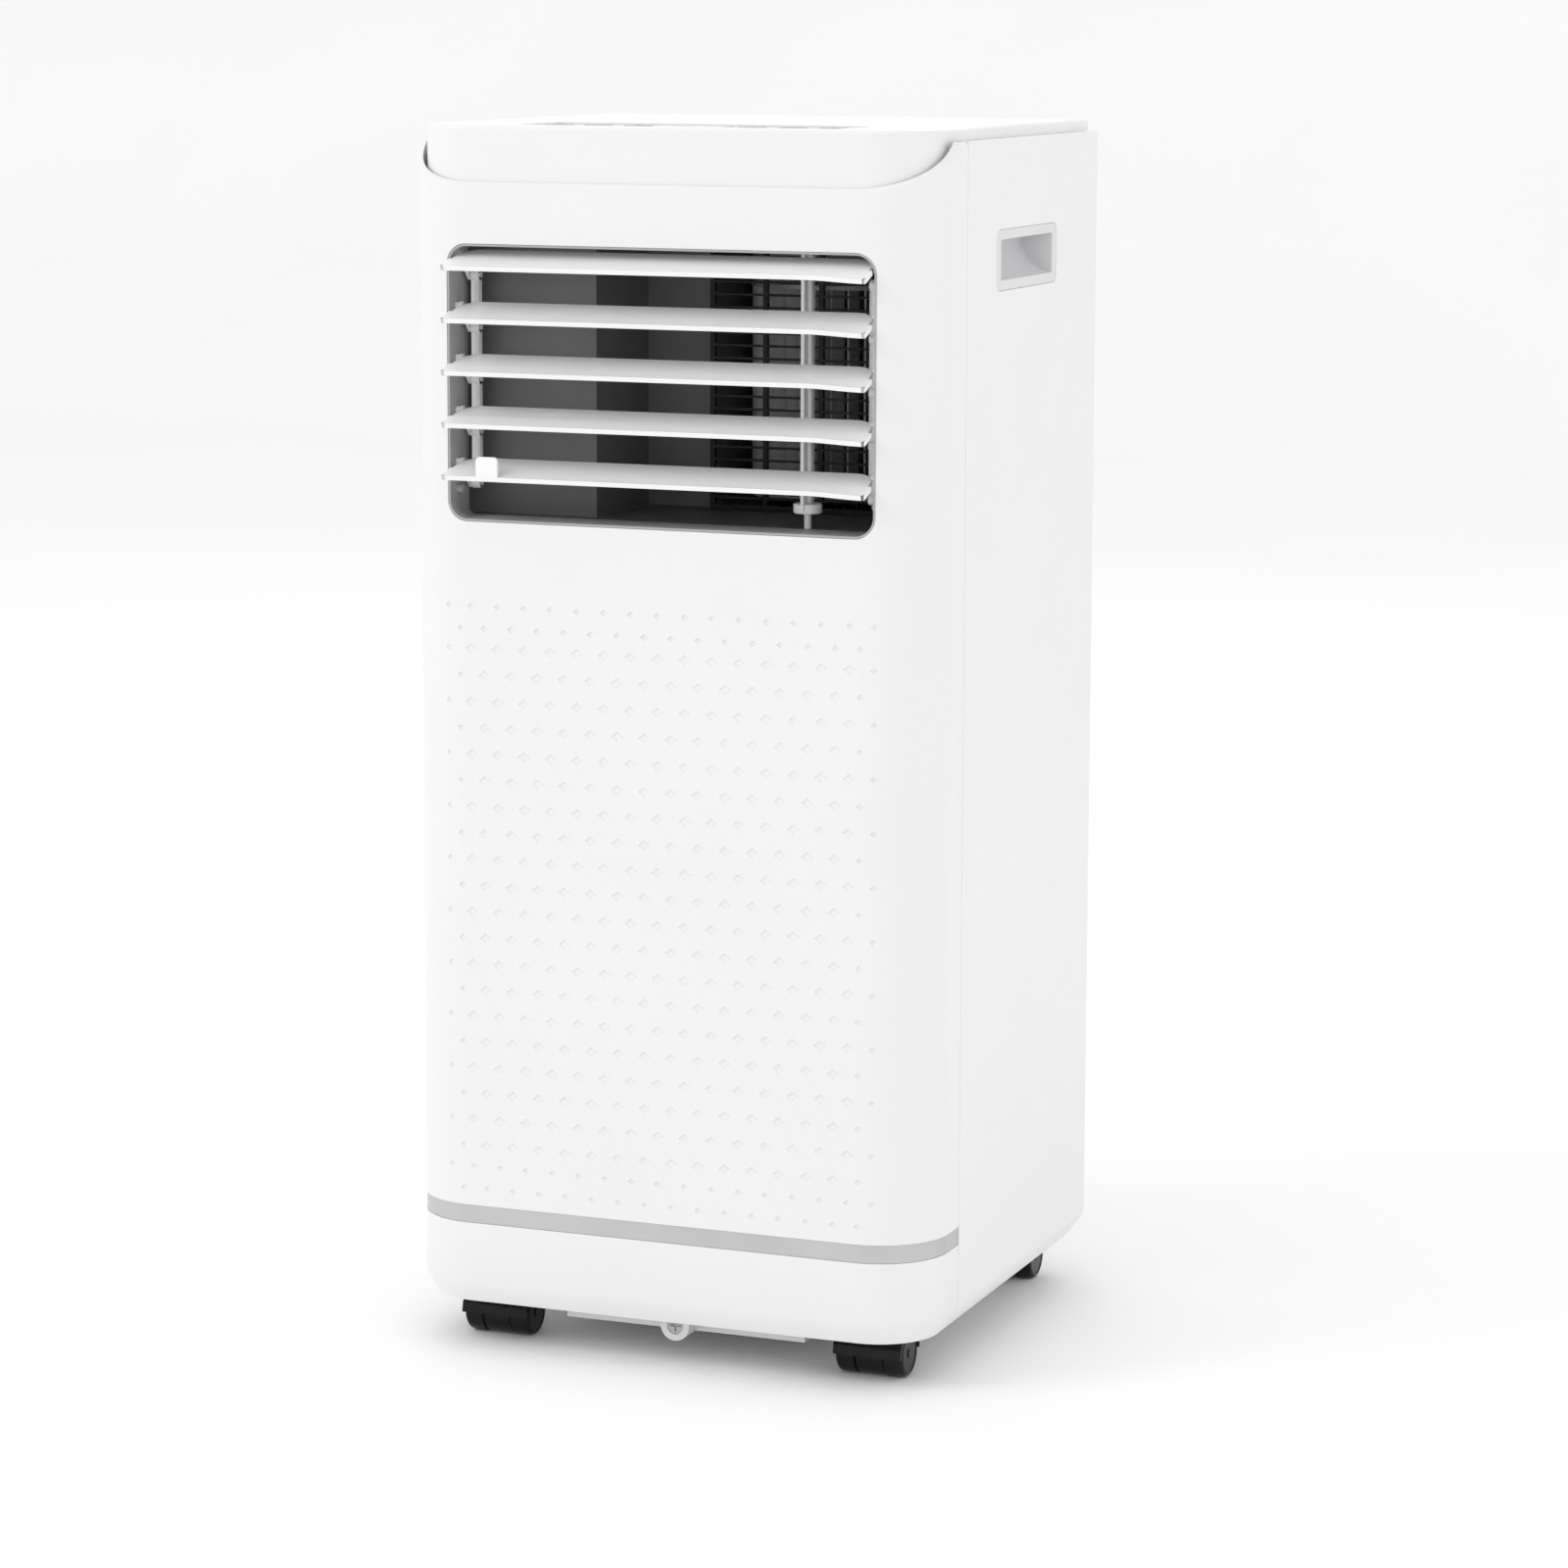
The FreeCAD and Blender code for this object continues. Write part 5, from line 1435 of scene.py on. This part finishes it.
@dataclass
class Casters:
    """Four swivelling casters, each a hood between two wheels."""

    places: tuple[tuple[str, float, float], ...] = (
        ("front_left", -115.0 * MM, -103.4 * MM),
        ("front_right", 115.0 * MM, -103.4 * MM),
        ("rear_left", -115.0 * MM, 123.0 * MM),
        ("rear_right", 115.0 * MM, 123.0 * MM),
    )
    trail: float = 8.0 * MM
    radius: float = 13.5 * MM
    inner: float = 8.8 * MM
    outer: float = 20.3 * MM
    drum_half: float = 8.3 * MM
    drum_radius: float = 13.1 * MM
    shoulder: float = 2.6 * MM
    inner_round: float = 0.5 * MM
    drum_round: float = 0.7 * MM
    hood_round: float = 0.35 * MM
    face_rim: float = 0.5 * MM
    face_wall: float = 0.4 * MM
    face_depth: float = 0.5 * MM

    def wheel(self, side: int) -> bpy.types.Object:
        """Model one wheel at the origin's caster: a round tread and a dished outer face.

        Args:
            side: -1 for the left wheel and 1 for the right.

        Returns:
            The wheel.
        """
        y, z = self.trail, self.radius
        x0, x1 = side * self.inner, side * self.outer
        wheel = Bench.cone("wheel", (x0, y, z), (x1, y, z), self.radius, sides=72)
        Bench.round_edges(
            wheel, lambda at, way: abs(way.x) < ACROSS and abs(at.x - x1) < NEAR, self.shoulder, 6
        )
        Bench.round_edges(
            wheel, lambda at, way: abs(way.x) < ACROSS and abs(at.x - x0) < NEAR, self.inner_round, 3
        )
        Bench.select(
            wheel, Part.FACE, lambda at, normal: normal.x * side > 0.99 and abs(at.x - x1) < NEAR
        )
        bpy.ops.mesh.inset(thickness=self.face_rim)
        bpy.ops.mesh.inset(thickness=self.face_wall, depth=-self.face_depth)
        Bench.done()
        return wheel

    def drum(self) -> bpy.types.Object:
        """Model the hood's drum, which fills the space between the wheels.

        Returns:
            The drum.
        """
        y, z = self.trail, self.radius
        drum = Bench.cone("drum", (-self.drum_half, y, z), (self.drum_half, y, z), self.drum_radius, sides=72)
        Bench.round_edges(drum, lambda _, way: abs(way.x) < ACROSS, self.drum_round, 3)
        return drum

    def build(self, workshop: Workshop) -> None:
        """Model one wheel for each side and one drum, and copy them to the four corners.

        Args:
            workshop: the finishes and the places of the CAD nodes.
        """
        wheels = {"a": self.wheel(-1), "b": self.wheel(1)}
        drum = self.drum()
        for corner, x, y in self.places:
            for letter, model in wheels.items():
                node = f"caster_wheel_{corner}_{letter}"
                workshop.dress(Bench.copy(model, node + "_moulded", (x, y, 0)), node, angle=30)
            node = "caster_hood_" + corner
            hood = workshop.twin(node, self.hood_round)
            joined = Bench.join([hood, Bench.copy(drum, "drum_copy", (x, y, 0))], node + "_moulded")
            workshop.dress(joined, node, angle=30)
        for model in (*wheels.values(), drum):
            bpy.data.objects.remove(model, do_unlink=True)


# ---------------------------------------------------------------- controls


@dataclass
class Controls:
    """Six push keys beside the display, each with a plain printed sign."""

    y: float = -86.4 * MM
    top: float = 698.4 * MM
    first_x: float = 34.0 * MM
    pitch: float = 24.0 * MM
    width: float = 15.0 * MM
    depth: float = 10.0 * MM
    corner: float = 3.0 * MM
    low: float = 696.3 * MM
    flange: float = 1.5 * MM
    sign_lift: float = 0.06 * MM
    sign_depth: float = 0.3 * MM
    sign_radius: float = 2.2 * MM
    ring_share: float = 0.78
    bar_half: float = 0.25 * MM
    bar_corner: float = 0.2 * MM
    power_bar: tuple[float, float] = mm(0.4, 3.2)
    timer_bar: tuple[float, float] = mm(-0.1, 1.3)
    square_half: float = 1.7 * MM
    square_corner: float = 0.6 * MM
    petals: int = 3
    petal_run: float = 1.5 * MM
    petal_radius: float = 1.05 * MM
    cap_round: float = 0.5 * MM
    flange_wall: float = 1.0 * MM
    flange_round: float = 0.2 * MM
    stem_low: float = 692.0 * MM
    stem_radius: float = 1.5 * MM
    stem_round: float = 0.3 * MM

    def sign(self, key: Key, x: float) -> bpy.types.Object:
        """Model a key's plain sign: a ring with a bar, an arrow, a square or three petals.

        Args:
            key: the key.
            x: the key's place across.

        Returns:
            The sign.
        """
        z0, z1 = self.top - self.sign_depth, self.top + self.sign_lift
        size = self.sign_radius

        def ring() -> bpy.types.Object:
            """Add a small flat ring.

            Returns:
                The ring.
            """
            rim = Bench.cone("rim", (x, self.y, z0), (x, self.y, z1), size, sides=32)
            bore = size * self.ring_share
            core = Bench.cone("core", (x, self.y, z0 - MM), (x, self.y, z1 + MM), bore, sides=32)
            Bench.cut(rim, core)
            return rim

        def bar(low: float, high: float) -> bpy.types.Object:
            """Add a small flat bar.

            Args:
                low: its front end.
                high: its rear end.

            Returns:
                The bar.
            """
            return Bench.pillow(
                "bar", (x - self.bar_half, self.y + low, z0),
                (x + self.bar_half, self.y + high, z1), Axis.Z, self.bar_corner, 2,
            )

        if key is Key.POWER:
            shapes = [ring(), bar(*self.power_bar)]
        elif key is Key.TIMER:
            shapes = [ring(), bar(*self.timer_bar)]
        elif key in (Key.COOLER, Key.WARMER):
            turn = math.pi if key is Key.COOLER else 0.0
            shapes = [Bench.cone("arrow", (x, self.y, z0), (x, self.y, z1), size, sides=3, turn=turn)]
        elif key is Key.MODE:
            half = self.square_half
            shapes = [Bench.pillow(
                "square", (x - half, self.y - half, z0), (x + half, self.y + half, z1),
                Axis.Z, self.square_corner, 3,
            )]
        else:
            shapes = []
            for step in range(self.petals):
                angle = math.tau * step / self.petals + math.pi / 2
                at = (x + self.petal_run * math.cos(angle), self.y + self.petal_run * math.sin(angle))
                shapes.append(Bench.cone("petal", (*at, z0), (*at, z1), self.petal_radius, sides=20))
        return Bench.join(shapes, key.value + "_sign")

    def build(self, workshop: Workshop) -> None:
        """Model the keys with crowned caps, and their signs.

        Args:
            workshop: the finishes and the places of the CAD nodes.
        """
        outward = [self.first_x + self.pitch * step for step in range(3)]
        for key, x in zip(Key, [-place for place in reversed(outward)] + outward):
            name = key.value
            half, deep = self.width / 2, self.depth / 2
            cap = Bench.pillow(
                name + "_moulded", (x - half, self.y - deep, self.low), (x + half, self.y + deep, self.top),
                Axis.Z, self.corner, 8,
            )
            Bench.round_edges(cap, lambda at, _: at.z > self.top - NEAR / 10, self.cap_round, 3)
            out = self.flange
            flange = Bench.pillow(
                "flange", (x - half - out, self.y - deep - out, self.low - self.flange_wall),
                (x + half + out, self.y + deep + out, self.low), Axis.Z, self.corner, 8,
            )
            Bench.soften(flange, self.flange_round, 2)
            stem = Bench.cone(
                "stem", (x, self.y, self.stem_low), (x, self.y, self.low), self.stem_radius, sides=24
            )
            Bench.soften(stem, self.stem_round, 2)
            workshop.dress(Bench.join([cap, flange, stem], name + "_moulded"), name)
            workshop.dress(self.sign(key, x), body=name + "_body", slot="control_dark", angle=30)


# ---------------------------------------------------------------- studio


@dataclass
class Studio:
    """The floor, the soft lights and the camera."""

    eye: Point = mm(1016.0, -2549.2, 770.9)
    yaw: float = math.radians(21.333)
    pitch: float = math.radians(8.482)
    roll: float = math.radians(0.195)
    lens: float = 109.619
    sensor: float = 36.0
    shift_y: float = -0.05
    far_clip: float = 60.0
    floor_size: float = 16.0
    backdrop: float = 8.0
    bend: float = 3.0
    bend_steps: int = 16
    aim_height: float = 0.35
    sky: float = 1.0

    def camera(self) -> None:
        """Add the camera at the viewing place and direction."""
        Bench.clear()
        bpy.ops.object.camera_add(location=self.eye)
        camera = bpy.context.active_object
        camera.name = "view_camera"
        forward = Vector((
            -math.sin(self.yaw) * math.cos(self.pitch),
            math.cos(self.yaw) * math.cos(self.pitch),
            -math.sin(self.pitch),
        ))
        level = Vector((math.cos(self.yaw), math.sin(self.yaw), 0.0))
        right = Matrix.Rotation(-self.roll, 3, forward) @ level
        up = right.cross(forward)
        camera.matrix_world = Matrix.Translation(Vector(self.eye)) @ Matrix(
            (right, up, -forward)
        ).transposed().to_4x4()
        camera.data.lens = self.lens
        camera.data.sensor_width = self.sensor
        camera.data.shift_y = self.shift_y
        camera.data.clip_end = self.far_clip
        bpy.context.scene.camera = camera

    def floor(self) -> None:
        """Add the pale floor, which curves up far behind into a backdrop."""
        Bench.clear()
        bpy.ops.mesh.primitive_plane_add(size=self.floor_size, location=(0, 0, 0))
        floor = Bench.named("studio_floor")
        rear = self.floor_size / 2 - 0.1
        Bench.select(floor, Part.EDGE, lambda at, _: at.y > rear)
        bpy.ops.mesh.extrude_region_move(TRANSFORM_OT_translate={"value": (0, 0, self.backdrop)})
        Bench.done()
        Bench.round_edges(floor, lambda at, _: at.y > rear and at.z < 0.1, self.bend, self.bend_steps)
        Bench.smooth(floor, 60)
        palette = Palette("pale_floor")
        cloud = palette.noise(1.2, 2.0, 0.5)
        grain = palette.noise(400.0, 2.0, 0.5)
        colour = palette.tint(cloud, "Fac", (0.93, 0.93, 0.93), (0.95, 0.95, 0.95))
        rough = palette.spread(cloud, "Fac", 0.75, 0.85)
        bump = palette.relief(grain, "Fac", 0.02 * MM, 0.05)
        floor.data.materials.append(palette.finish(colour, rough, bump))
        floor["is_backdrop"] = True

    def lamp(self, name: str, place: Point, size: float, power: float) -> None:
        """Add one soft square light that faces the middle of the object.

        Args:
            name: the name to give.
            place: where it stands, in metres.
            size: its side, in metres.
            power: its power, in watts.
        """
        Bench.clear()
        bpy.ops.object.light_add(type="AREA", location=place)
        lamp = bpy.context.active_object
        lamp.name = name
        lamp.data.size = size
        lamp.data.energy = power
        aim = Vector((0, 0, self.aim_height)) - Vector(place)
        lamp.rotation_euler = aim.to_track_quat("-Z", "Y").to_euler()

    def build(self) -> None:
        """Set up the world, the floor, the lights and the camera."""
        world = bpy.data.worlds.new("studio")
        world.use_nodes = True
        sky = world.node_tree.nodes["Background"].inputs
        sky["Color"].default_value = (1.0, 1.0, 1.0, 1.0)
        sky["Strength"].default_value = self.sky
        scene = bpy.context.scene
        scene.world = world
        scene.view_settings.view_transform = "Standard"
        self.floor()
        self.lamp("key_light", (-2.4, -2.2, 2.6), 1.3, 27.0)
        self.lamp("fill_light", (2.8, -0.8, 1.4), 1.8, 6.0)
        self.lamp("back_light", (-0.8, 2.6, 2.2), 1.6, 7.0)
        self.camera()


# ---------------------------------------------------------------- all together


REFINED: dict[str, float] = {
    "side_panel_left": 0.6,
    "side_panel_right": 0.6,
    "top_lid": 0.6,
    "rear_panel": 0.4,
    "intake_cartridge": 0.35,
    "exhaust_collar": 0.5,
    "trim_strip": 0.15,
    "control_panel": 0.2,
    "base_tray": 0.4,
    "grip_cup_left": 0.4,
    "grip_cup_right": 0.4,
    "louver_frame": 0.25,
    "blower_guard": 0.2,
    "air_duct": 0.3,
    "front_drain_plug": 0.2,
    "rear_drain_plug": 0.3,
    "cord_gland": 0.4,
    "rear_screws": 0.15,
    "display_window": 0.2,
}


SHOWN_SLOT: dict[str, str] = {"blower_guard": "plug_dark", "front_drain_plug": "control_grey"}


def main() -> None:
    """Build every sub-assembly in order and report each piece."""
    logging.basicConfig(level=logging.INFO, format="%(message)s")
    workshop = Workshop(frame)
    FrontCover().build(workshop)
    Louvers().build(workshop)
    Casters().build(workshop)
    Controls().build(workshop)
    for node, width in REFINED.items():
        workshop.refine(node, width * MM)
    workshop.coat_nodes()
    Studio().build()
    cad, now = ([list(corner) for corner in box] for box in (CAD_BOX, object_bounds()))


if __name__ == "__main__":
    main()
